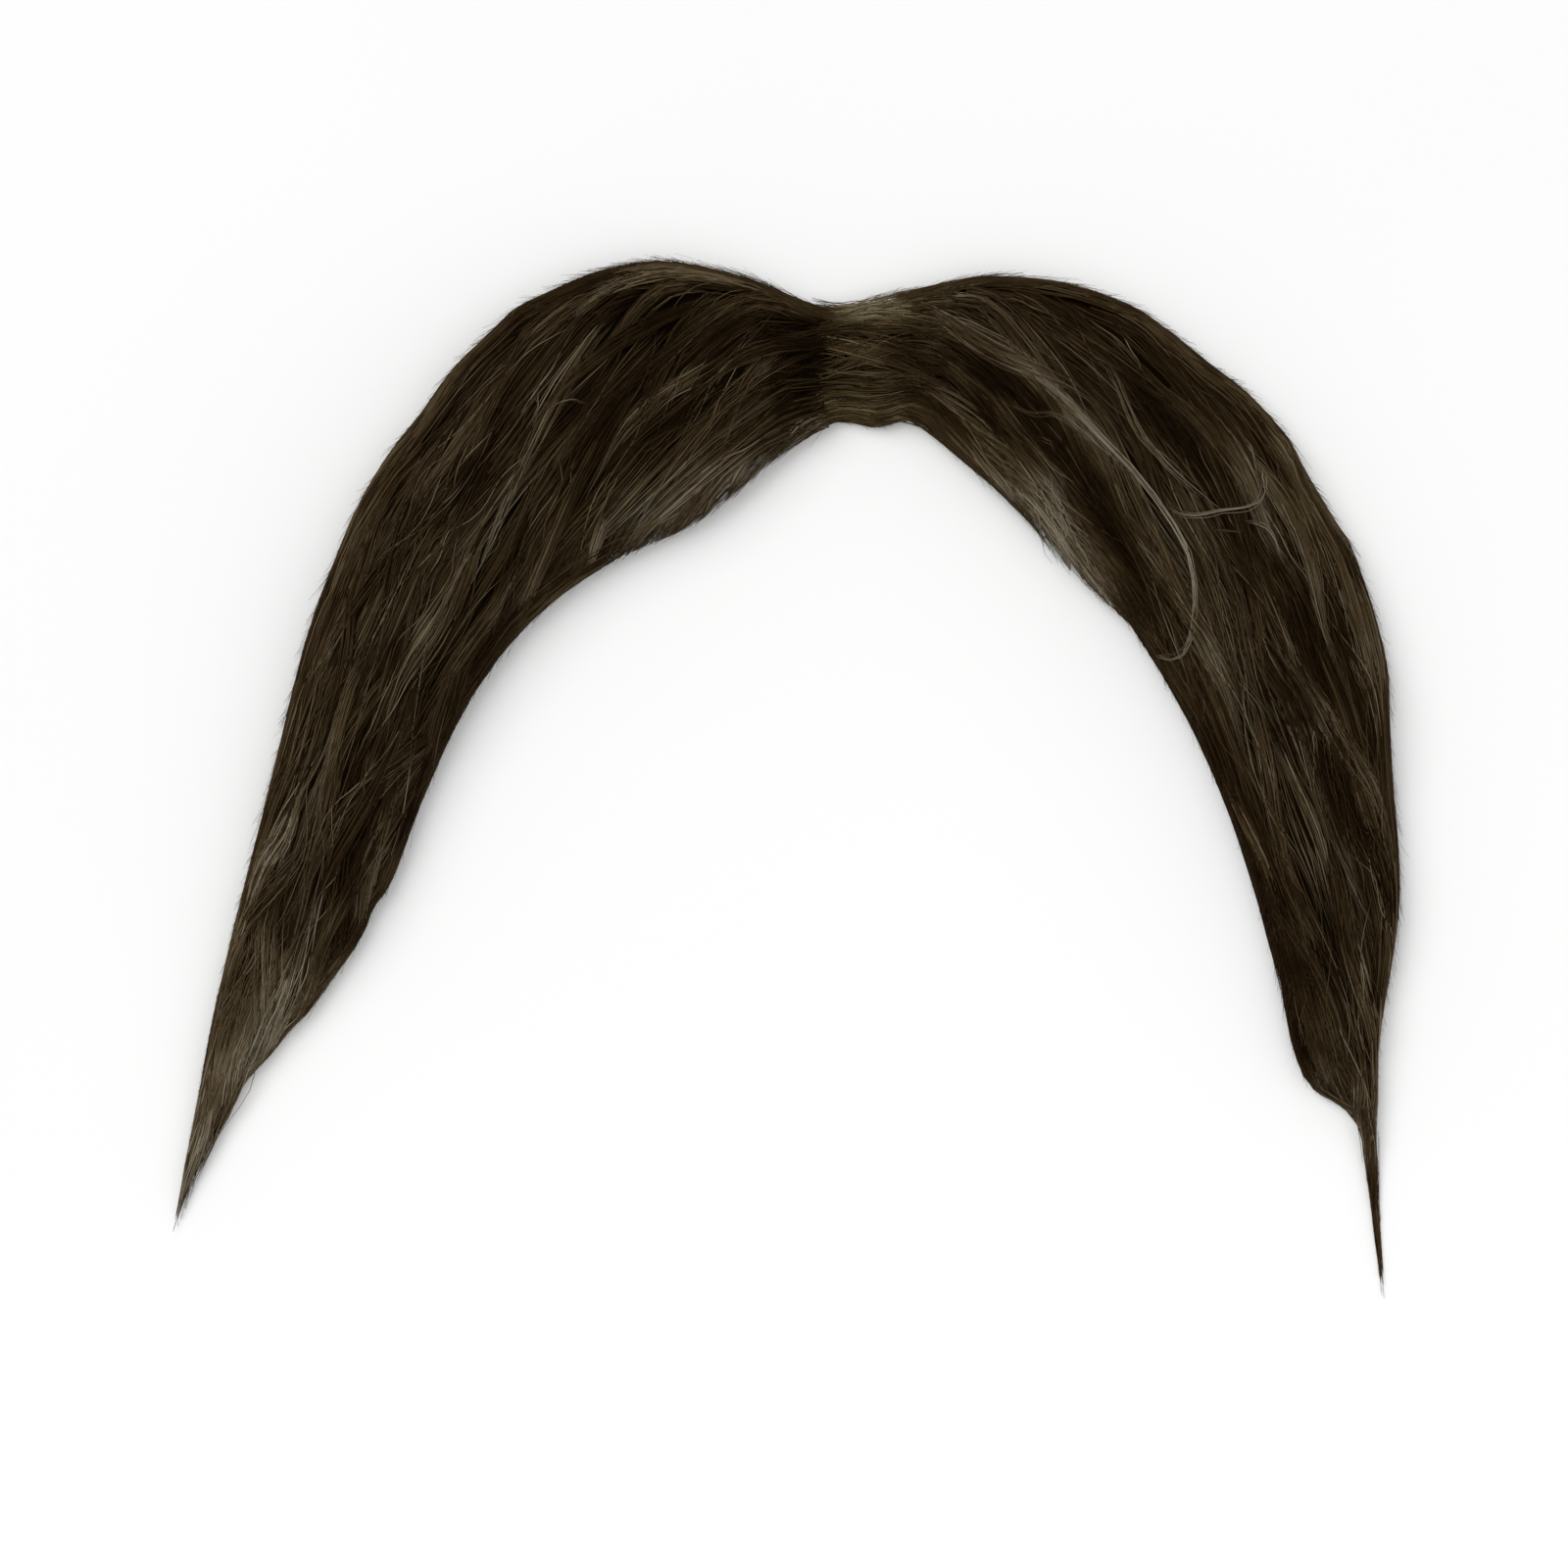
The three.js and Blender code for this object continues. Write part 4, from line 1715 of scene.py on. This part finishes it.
@dataclass
class Studio:
    """The table, the soft light and the camera that looks straight down.

    Attributes:
        finish: What the table looks like.
        lamps: The lights over it.
        centre: The middle of the picture in plan, in metres.
        height: How high the camera is, in metres.
        lens: The camera's focal length, in millimetres.
        sensor: The width of the camera's film, in millimetres.
        nearest: How close to the camera things may be, in metres.
        table: Half of the table's width, in metres.
        ambient: How strong the light from all round is.
        backdrop: How bright the backdrop looks.
    """

    finish: FloorFinish = FLOOR_FINISH
    lamps: tuple[Lamp, ...] = (
        Lamp("key_light", (-0.45, 0.35, 0.75), 45.0, 1.55),
        Lamp("fill_light", (0.55, -0.25, 0.6), 70.0, 0.5),
    )
    centre: Span = (-0.0077, -0.0476)
    height: float = 0.445
    lens: float = 90.0
    sensor: float = 36.0
    nearest: float = 0.01
    table: float = 12.0
    ambient: float = 0.55
    backdrop: float = 1.0

    def build(self) -> None:
        """Lays the table, hangs the lights and sets the camera."""
        self.table_top()
        for lamp in self.lamps:
            lamp.hang()
        self.surroundings()
        self.camera()

    def table_top(self) -> None:
        """Lays the table that the moustache lies on."""
        half = self.table
        corners = np.array([
            (-half, -half, 0.0), (half, -half, 0.0), (half, half, 0.0), (-half, half, 0.0),
        ])
        mesh = new_mesh("table_top", corners, np.arange(4), np.array([0]))
        mesh.materials.append(self.finish.material())
        new_piece("table_top", mesh)

    def surroundings(self) -> None:
        """Sets a pale, even light all round, and a backdrop as pale as the table."""
        world = bpy.data.worlds.new("pale_studio")
        world.use_nodes = True
        nodes, links = world.node_tree.nodes, world.node_tree.links
        seen = nodes.new("ShaderNodeLightPath").outputs["Is Camera Ray"]
        blend = nodes.new("ShaderNodeMapRange")
        blend.inputs["To Min"].default_value = self.ambient
        blend.inputs["To Max"].default_value = self.backdrop
        links.new(seen, blend.inputs["Value"])
        links.new(blend.outputs["Result"], nodes["Background"].inputs["Strength"])
        nodes["Background"].inputs["Color"].default_value = (1.0, 1.0, 1.0, 1.0)
        scene = bpy.context.scene
        scene.world = world
        scene.view_settings.view_transform = "Standard"

    def camera(self) -> None:
        """Sets the camera over the moustache, looking straight down."""
        data = bpy.data.cameras.new("camera")
        data.lens = self.lens
        data.sensor_width = self.sensor
        data.clip_start = self.nearest
        camera = bpy.data.objects.new("camera", data)
        camera.location = (*self.centre, self.height)
        bpy.context.scene.collection.objects.link(camera)
        bpy.context.scene.camera = camera


# Each section has its outer and inner point, its crown and its comb
LEFT_SECTIONS = (
    Section((-1.6, 6.1), (-1.6, -6.8), 4.6, 190.0),
    Section((-4.6, 6.8), (-4.4, -8.2), 5.8, 205.0),
    Section((-12.4, 9.9), (-10.0, -11.7), 7.6, 222.0),
    Section((-23.2, 11.6), (-17.6, -18.0), 9.2, 232.0),
    Section((-34.1, 8.2), (-28.4, -23.2), 9.8, 237.0),
    Section((-44.4, 0.4), (-37.2, -30.1), 9.8, 240.0),
    Section((-53.2, -11.4), (-43.9, -39.4), 9.2, 244.0),
    Section((-60.7, -27.4), (-48.6, -49.3), 8.2, 247.0),
    Section((-65.4, -45.2), (-52.4, -59.2), 6.8, 249.5),
    Section((-68.9, -59.3), (-57.1, -67.4), 5.4, 250.0),
    Section((-71.8, -71.3), (-64.2, -76.2), 4.0, 251.0),
    Section((-74.8, -86.4), (-71.4, -86.8), 2.2, 256.0),
    Section((-77.1, -98.3), (-76.8, -98.5), 0.5, 257.0),
)

RIGHT_SECTIONS = (
    Section((4.6, 8.1), (4.6, -6.5), 4.8, -14.0),
    Section((7.6, 8.6), (7.2, -6.9), 5.8, -30.0),
    Section((16.0, 9.9), (12.8, -11.2), 7.6, -42.0),
    Section((27.0, 8.3), (18.8, -16.7), 9.0, -49.0),
    Section((37.2, 2.7), (24.8, -23.6), 9.8, -55.0),
    Section((46.7, -5.3), (31.3, -29.8), 9.8, -61.0),
    Section((53.7, -16.1), (36.6, -37.8), 9.4, -66.0),
    Section((59.6, -30.0), (40.8, -46.4), 8.6, -68.0),
    Section((61.2, -47.2), (44.8, -57.2), 7.4, -70.0),
    Section((62.0, -61.2), (47.6, -67.2), 6.0, -72.0),
    Section((59.9, -75.0), (51.0, -80.6), 4.6, -76.0),
    Section((59.5, -83.0), (56.8, -85.2), 2.8, -84.0),
    Section((59.5, -91.5), (58.3, -91.5), 1.1, -86.0),
    Section((60.65, -107.05), (60.35, -107.15), 0.25, -85.0),
)

# Each swell has its middle, its reach and its amount
LEFT_SWELLS = (
    Swell((-38.2, 6.2), 2.8, 0.55),
    Swell((-49.2, -5.0), 4.2, -0.75),
    Swell((-56.3, -16.4), 4.0, 0.3),
    Swell((-12.3, -13.7), 2.0, 0.3),
    Swell((-53.9, -62.0), 1.9, -0.5),
    Swell((-61.9, -73.0), 2.8, 0.4),
    Swell((-68.2, -81.6), 3.0, -0.6),
)

RIGHT_SWELLS = (
    Swell((32.6, 5.8), 3.0, 0.35),
    Swell((40.8, 0.4), 2.6, -0.45),
    Swell((49.2, -8.5), 2.2, 0.25),
    Swell((51.8, -12.3), 2.0, -0.4),
    Swell((56.2, -20.6), 2.8, 0.45),
    Swell((60.5, -35.6), 3.5, 0.3),
    Swell((31.3, -29.8), 1.8, -0.2),
)

BRIDGE_SECTIONS = (
    Section((-6.4, 7.4), (-6.0, -8.6), 4.4, 8.0),
    Section((-2.0, 6.4), (-1.6, -6.6), 4.2, 4.0),
    Section((2.4, 7.4), (2.8, -7.2), 4.6, 0.0),
    Section((6.8, 8.4), (6.8, -6.4), 5.6, -8.0),
    Section((11.5, 9.0), (10.4, -8.8), 6.4, -16.0),
)

WING_LAYERS = (
    Layer(
        "under_hair", tufts=96, strands=50, points=7, length=(26.0, 42.0), width=(2.2, 4.2),
        sink=(0.4, 1.5), tint=(0.18, 0.46), stray=4.0, radius=0.085, gather=0.85, streaks=5.0,
    ),
    Layer(
        "edge_hair", tufts=56, strands=24, points=7, length=(14.0, 24.0), width=(0.9, 1.8),
        sink=(0.0, 0.6), tint=(0.14, 0.4), stray=2.5, radius=0.07, gather=0.9, streaks=2.0,
        band=(0.84, 1.0), hug=1.0, scatter=0.5,
    ),
    Layer(
        "top_hair", tufts=108, strands=43, points=8, length=(20.0, 38.0), width=(1.0, 2.8),
        sink=(-0.1, 0.6), tint=(0.23, 0.7), stray=7.0, radius=0.076, gather=0.45, streaks=4.0,
        weave=0.25,
    ),
)

BRIDGE_LAYERS = (
    Layer(
        "hair", tufts=36, strands=42, points=7, length=(9.0, 18.0), width=(1.0, 2.2),
        sink=(-0.1, 0.8), tint=(0.34, 0.68), stray=9.0, radius=0.078, gather=0.7, streaks=3.0,
        hug=1.0, bury=(0.7, 0.25),
    ),
)

# Each patch has its route, its reach and its tint, some also from_share and thin
# The creases are pressed in, and painted darker as their shade, where the wings' hair meets the
# bridge hair
LEFT_CREASE = Patch(((-5.4, 4.6), (-6.2, 0.6), (-5.6, -3.4)), 1.8, -0.14, dent=0.9)
RIGHT_CREASE = Patch(((7.4, 2.7), (5.8, -1.0), (6.8, -3.4), (9.8, -6.4)), 1.5, -0.22, dent=0.7)

LEFT_PATCHES = (
    LEFT_CREASE,
    # Painted shade: the outer crest darkened against the key light that catches its edge strands
    Patch(((-8.0, 8.0), (-16.0, 10.4), (-24.0, 11.4), (-34.0, 7.9), (-44.0, 0.6)), 1.8, -0.14),
    Patch(((-8.0, 4.0), (-16.0, 5.0), (-24.0, 7.0)), 5.0, -0.04),
    Patch(((-7.0, -1.0), (-14.0, -5.0)), 5.0, -0.12),
    Patch(((-12.5, -13.2), (-18.0, -17.5), (-22.5, -20.0)), 3.2, 0.32, 0.62, 0.56),
    Patch(((-13.5, -12.0), (-20.0, -16.8), (-28.0, -21.6), (-34.0, -26.6)), 2.6, 0.2),
    Patch(((-14.0, 8.4), (-8.0, 6.0)), 1.8, 0.14),
    Patch(((-4.5, -7.0), (-9.0, -10.0), (-13.0, -13.0)), 1.5, 0.34),
    Patch(((-17.0, -6.5), (-22.5, -12.5)), 2.0, -0.14),
    Patch(((-26.0, 7.4), (-36.0, 1.9)), 2.0, 0.12),
    Patch(((-21.7, 2.0), (-25.6, -2.4), (-28.6, -6.8)), 4.2, -0.26, dent=0.3),
    Patch(((-27.6, -9.8), (-31.0, -17.1)), 2.0, -0.2, dent=0.3),
    Patch(((-38.9, -7.8), (-42.3, -14.7)), 2.0, -0.2, dent=0.3),
    Patch(((-42.5, -3.2), (-48.0, -9.8), (-52.5, -17.0), (-55.8, -24.3)), 2.4, -0.24),
    Patch(((-46.2, -21.0), (-47.7, -30.4)), 1.8, 0.14),
    Patch(((-54.1, -31.3), (-56.6, -40.1), (-56.1, -50.0), (-58.6, -57.8)), 2.2, -0.1),
    Patch(((-62.9, -50.0), (-64.2, -57.4)), 1.9, 0.16),
    Patch(((-58.5, -62.5), (-63.0, -70.0)), 1.8, 0.24),
    Patch(((-51.6, -55.5), (-54.4, -62.0)), 1.3, 0.25),
    Patch(((-57.2, -67.2), (-60.8, -71.8)), 1.2, 0.24),
    Patch(((-40.0, -35.0), (-47.0, -47.0), (-51.0, -56.0), (-56.0, -65.0)), 3.0, -0.16, 0.45),
    Patch(((-66.0, -68.0), (-70.0, -80.0), (-74.0, -90.0)), 6.0, 0.17),
    Patch(((-67.0, -79.0), (-70.0, -83.0), (-75.0, -93.0)), 3.2, 0.16),
    Patch(((-63.6, -74.6), (-66.6, -77.4), (-69.4, -79.6)), 2.3, 0.3),
)

RIGHT_PATCHES = (
    RIGHT_CREASE,
    # A hollow under the main lock: pressed in, and painted much darker as its shade
    Patch(((15.0, -1.5), (17.2, -3.3), (19.2, -4.7), (21.6, -5.1)), 1.3, -0.45, dent=1.3),
    Patch(((0.0, 6.2), (6.0, 7.6), (12.0, 8.0)), 1.6, 0.3),
    Patch(((10.0, 8.0), (16.0, 8.4)), 5.0, 0.1),
    Patch(((20.0, 9.6), (27.0, 8.0)), 1.4, 0.14),
    Patch(
        ((6.2, 7.0), (14.6, 4.2), (19.5, -0.9), (23.4, -5.8), (30.2, -13.7), (35.1, -20.1),
         (39.0, -27.4), (41.0, -35.2), (41.6, -43.0)),
        1.8, 0.1,
    ),
    Patch(((6.2, 7.0), (14.6, 4.2), (19.5, -0.9), (23.4, -5.8), (30.2, -13.7)), 1.8, 0.1),
    Patch(((8.0, -6.8), (13.0, -10.6), (17.0, -14.6)), 1.4, 0.2),
    # Painted shade: a dark band under the main lock, also pressed in a little
    Patch(
        ((21.1, -8.3), (24.1, -11.2), (26.1, -14.4), (28.0, -18.3), (30.2, -22.5), (32.8, -28.3)),
        2.3, -0.36, dent=0.4,
    ),
    Patch(((4.8, -0.2), (9.8, -0.1), (13.2, -3.6), (16.6, -8.0), (18.6, -11.0)), 2.2, -0.18),
    Patch(((21.2, -13.5), (24.2, -15.5)), 1.3, 0.15),
    Patch(((28.0, 5.8), (33.4, 2.3), (37.9, -2.1)), 1.7, -0.08),
    Patch(((31.6, -4.0), (35.5, -8.4), (39.4, -13.3)), 1.5, -0.22, dent=0.3),
    Patch(((43.6, -3.8), (47.6, -8.3), (52.6, -16.2), (55.6, -22.2)), 1.7, 0.06),
    Patch(((43.5, -10.7), (45.6, -17.0), (47.2, -21.4)), 1.5, 0.24),
    Patch(((28.0, -25.8), (33.0, -31.0)), 1.6, 0.2),
    Patch(((40.4, -18.6), (43.6, -18.8)), 0.8, -0.35, dent=0.6),
    Patch(((42.5, -21.1), (45.4, -26.0)), 1.4, -0.14, dent=0.5),
    Patch(((49.1, -28.8), (54.5, -36.7), (57.6, -44.0)), 1.9, -0.2),
    Patch(((53.3, -46.0), (57.3, -52.0), (59.3, -58.4)), 2.4, -0.26),
    Patch(((47.2, -50.0), (51.1, -59.8), (53.2, -67.7)), 1.9, -0.2),
    Patch(((55.5, -61.0), (57.5, -67.5)), 1.5, 0.15),
    Patch(((58.4, -71.0), (58.4, -78.0)), 1.2, -0.15),
    Patch(((50.0, -68.8), (52.0, -77.2)), 1.9, -0.26),
    Patch(((52.5, -81.0), (57.0, -84.0), (59.0, -90.0)), 2.4, 0.24),
    Patch(((40.0, -20.0), (44.0, -32.0)), 4.0, 0.08),
    Patch(((48.5, -13.4), (52.0, -21.0), (55.5, -29.4)), 2.8, -0.12),
    Patch(((20.2, -16.4), (23.4, -20.6), (27.6, -25.4)), 3.4, 0.56, 0.62, 0.6),
    Patch(((38.6, -42.0), (44.8, -56.0), (48.0, -69.0)), 3.0, -0.26, 0.45),
)

BRIDGE_PATCHES = (
    LEFT_CREASE,
    RIGHT_CREASE,
    Patch(((-1.0, 5.6), (6.0, 6.6)), 2.0, 0.16),
    Patch(((0.0, 6.2), (6.0, 7.6), (12.0, 8.0)), 1.6, 0.3),
    Patch(((4.8, -0.2), (9.8, -0.1)), 2.2, -0.18),
    Patch(((-2.0, -5.0), (6.0, -5.2)), 1.0, 0.1),
)

# Each lock has its route, then its strands, spread, lift, tint, stagger and taper
LEFT_LOCKS = (
    Lock(((-14.8, -4.0), (-16.0, -7.3), (-19.3, -11.4))),
    Lock(((-25.4, -11.0), (-28.3, -16.7), (-31.9, -22.4)), tint=0.7),
    Lock(((-41.3, -21.2), (-43.8, -24.4), (-47.4, -33.0)), 5, 0.3, tint=0.7),
    Lock(((-38.0, -0.8), (-40.5, -2.8), (-47.0, -9.7)), tint=0.7),
    Lock(((-35.6, -2.8), (-35.2, -6.0), (-37.2, -9.3)), 2, tint=0.7),
    Lock(((-28.7, -5.2), (-33.2, -11.0), (-36.4, -16.3)), 4, 0.3, tint=0.68),
    Lock(((-34.0, -6.0), (-31.5, -4.8), (-29.1, -5.6)), 2),
    Lock(((-41.7, -6.9), (-44.2, -11.8), (-45.0, -15.4)), 2, tint=0.7),
    Lock(((-50.2, -33.4), (-52.9, -40.3), (-55.0, -45.1)), 4, 0.3, tint=0.66),
    Lock(((-56.7, -39.8), (-58.8, -45.1), (-62.0, -51.0)), 4, 0.3, tint=0.7),
    Lock(((-61.5, -36.6), (-62.0, -40.9), (-63.2, -46.0)), 2, tint=0.7),
    Lock(((-64.2, -54.8), (-66.8, -59.6), (-67.9, -62.8)), 3, tint=0.72),
    Lock(((-67.4, -72.0), (-69.0, -76.7), (-71.1, -81.6)), 4, 0.3, tint=0.74),
    Lock(
        ((-63.2, -60.0), (-66.8, -69.0), (-70.4, -79.0), (-73.7, -88.0), (-76.2, -95.5)),
        110, 1.9, 0.1, 0.5, 0.42, 1.0,
    ),
    Lock(
        ((-61.2, -62.8), (-65.4, -69.8), (-70.2, -78.4), (-73.4, -85.8)),
        60, 0.75, 0.1, 0.48, 0.42, 0.85,
    ),
)

RIGHT_LOCKS = (
    Lock(
        ((16.7, -0.5), (20.2, -2.1), (24.3, -5.7), (28.4, -10.2), (31.9, -13.9), (34.4, -17.4),
         (36.5, -20.5), (37.6, -24.0), (37.9, -27.5), (37.6, -31.0), (36.8, -33.2), (35.3, -33.7),
         (34.1, -33.0)),
        9, 0.22, 0.68, 0.95, 0.06,
    ),
    Lock(
        ((21.5, -2.8), (23.4, -4.8), (25.4, -6.8), (27.8, -9.5), (30.1, -12.6), (33.1, -14.9)),
        3, 0.3, 0.6, 0.82,
    ),
    Lock(
        ((15.8, -4.2), (17.9, -5.6), (20.3, -6.4), (22.2, -6.4), (24.6, -7.9), (27.0, -9.5),
         (28.8, -11.5)),
        4, 0.2, 0.6, 0.76,
    ),
    Lock(
        ((28.4, -1.0), (29.2, -2.6), (30.5, -5.9), (31.7, -8.5), (33.5, -10.7), (35.4, -12.6),
         (37.4, -14.5), (39.3, -16.0), (40.9, -17.1)),
        7, 0.28, 0.55, 0.82,
    ),
    Lock(
        ((33.1, -14.9), (35.0, -16.9), (36.6, -17.7), (38.6, -17.7), (40.5, -17.3), (42.5, -17.1),
         (44.0, -16.7), (45.2, -15.9), (45.9, -14.2), (45.7, -12.2)),
        5, 0.22, 0.7, 0.86, 0.1,
    ),
    Lock(
        ((43.0, -18.2), (44.8, -18.7), (46.4, -19.6), (47.5, -21.8), (48.3, -23.3)),
        3, 0.22, 0.55, 0.8,
    ),
    Lock(((39.8, -19.4), (42.2, -19.7), (44.4, -19.5)), 2, 0.18, 0.5, 0.78),
    Lock(((41.6, -17.4), (42.0, -18.4), (43.0, -19.6)), 2, 0.12, 0.55, 0.8),
    Lock(((43.6, -8.4), (44.7, -10.4), (45.1, -13.7)), 3, 0.2, 0.5, 0.8),
    Lock(((45.7, -11.9), (45.9, -15.8)), 3, 0.2, 0.45, 0.78),
    Lock(
        ((36.5, -17.7), (39.1, -21.5), (40.9, -26.5), (42.7, -31.5), (42.2, -39.2)),
        14, 0.7, 0.4, 0.55,
    ),
    Lock(((31.2, -19.8), (32.6, -22.0), (35.5, -25.6)), 4, 0.22, 0.5, 0.8),
    Lock(((28.6, -13.4), (29.8, -16.6), (30.8, -19.4)), 3),
    Lock(((20.3, -9.1), (21.9, -9.6), (22.6, -11.1)), 2),
    Lock(
        ((42.9, -34.4), (44.0, -44.0), (46.6, -51.0), (49.3, -55.3), (51.4, -60.1), (51.7, -63.4)),
        4,
    ),
    Lock(((47.1, -28.0), (48.4, -32.1), (49.9, -35.4)), 3),
    Lock(((50.9, -25.0), (52.4, -29.8), (54.7, -35.4)), 4, 0.3),
    Lock(((55.0, -32.1), (56.5, -35.4), (58.0, -38.2)), 3),
    Lock(((52.5, -39.2), (56.3, -44.6), (59.6, -50.0)), 4, 0.3, tint=0.7),
    Lock(((51.4, -40.3), (52.0, -45.1)), 2),
    Lock(((53.0, -52.1), (55.7, -58.0), (58.4, -65.0)), 5, 0.3, tint=0.7),
    Lock(((20.4, -13.0), (22.8, -17.4), (26.0, -22.6)), 8, 0.9, 0.4, 0.8),
    Lock(((49.4, -66.0), (51.0, -72.5), (52.4, -78.2), (53.4, -81.2)), 30, 0.42, 0.1, 0.5),
    Lock(((51.0, -69.0), (53.2, -76.0), (55.4, -82.4)), 24, 0.45, 0.1, 0.54),
    Lock(
        ((54.6, -73.0), (57.0, -80.0), (58.4, -86.0), (59.2, -93.0), (59.9, -100.0)),
        40, 0.9, 0.08, 0.5, 0.42, 0.95,
    ),
)

BRIDGE_LOCKS = (
    Lock(((-6.0, -1.4), (-1.2, -0.3), (3.7, 2.1), (7.5, 2.6)), 16, 0.8, 0.3, 0.5),
    Lock(((-6.4, 2.6), (-2.0, 1.6), (2.0, 0.6), (6.0, -1.6)), 12, 0.7, 0.25, 0.46),
    Lock(((-5.0, 7.0), (-1.0, 6.3), (3.0, 7.2), (8.0, 8.6)), 14, 0.3, 0.2, 0.56),
)


def main() -> None:
    """Builds the moustache and its studio, and reports each piece."""
    logging.basicConfig(level=logging.INFO, format="%(name)s: %(message)s")
    parts = (
        Backing(),
        HairPiece(
            Piece.LEFT_WING, Slot.WING, HairForm(LEFT_SECTIONS, LEFT_SWELLS), WING_FINISH,
            WING_LAYERS, LEFT_PATCHES, LEFT_LOCKS, seed=11,
            coat=Undercoat(run=(0.0, 0.92)),
        ),
        HairPiece(
            Piece.RIGHT_WING, Slot.WING, HairForm(RIGHT_SECTIONS, RIGHT_SWELLS), WING_FINISH,
            WING_LAYERS, RIGHT_PATCHES, RIGHT_LOCKS, seed=23,
        ),
        HairPiece(
            Piece.BRIDGE, Slot.BRIDGE, HairForm(BRIDGE_SECTIONS), BRIDGE_FINISH,
            BRIDGE_LAYERS, BRIDGE_PATCHES, BRIDGE_LOCKS, seed=37,
            coat=Undercoat(run=(0.1, 0.8), sink=2.4), strays=Strays(count=10),
            fringe=Fringe(count=90),
        ),
    )
    total = 0
    for part in parts:
        for piece in part.build():
            triangles = sum(len(face.vertices) - 2 for face in piece.data.polygons)
            total += triangles
            log.info("%s: %d triangles", piece.name, triangles)
    log.info("all pieces: %d triangles", total)
    Studio().build()


if __name__ == "__main__":
    main()
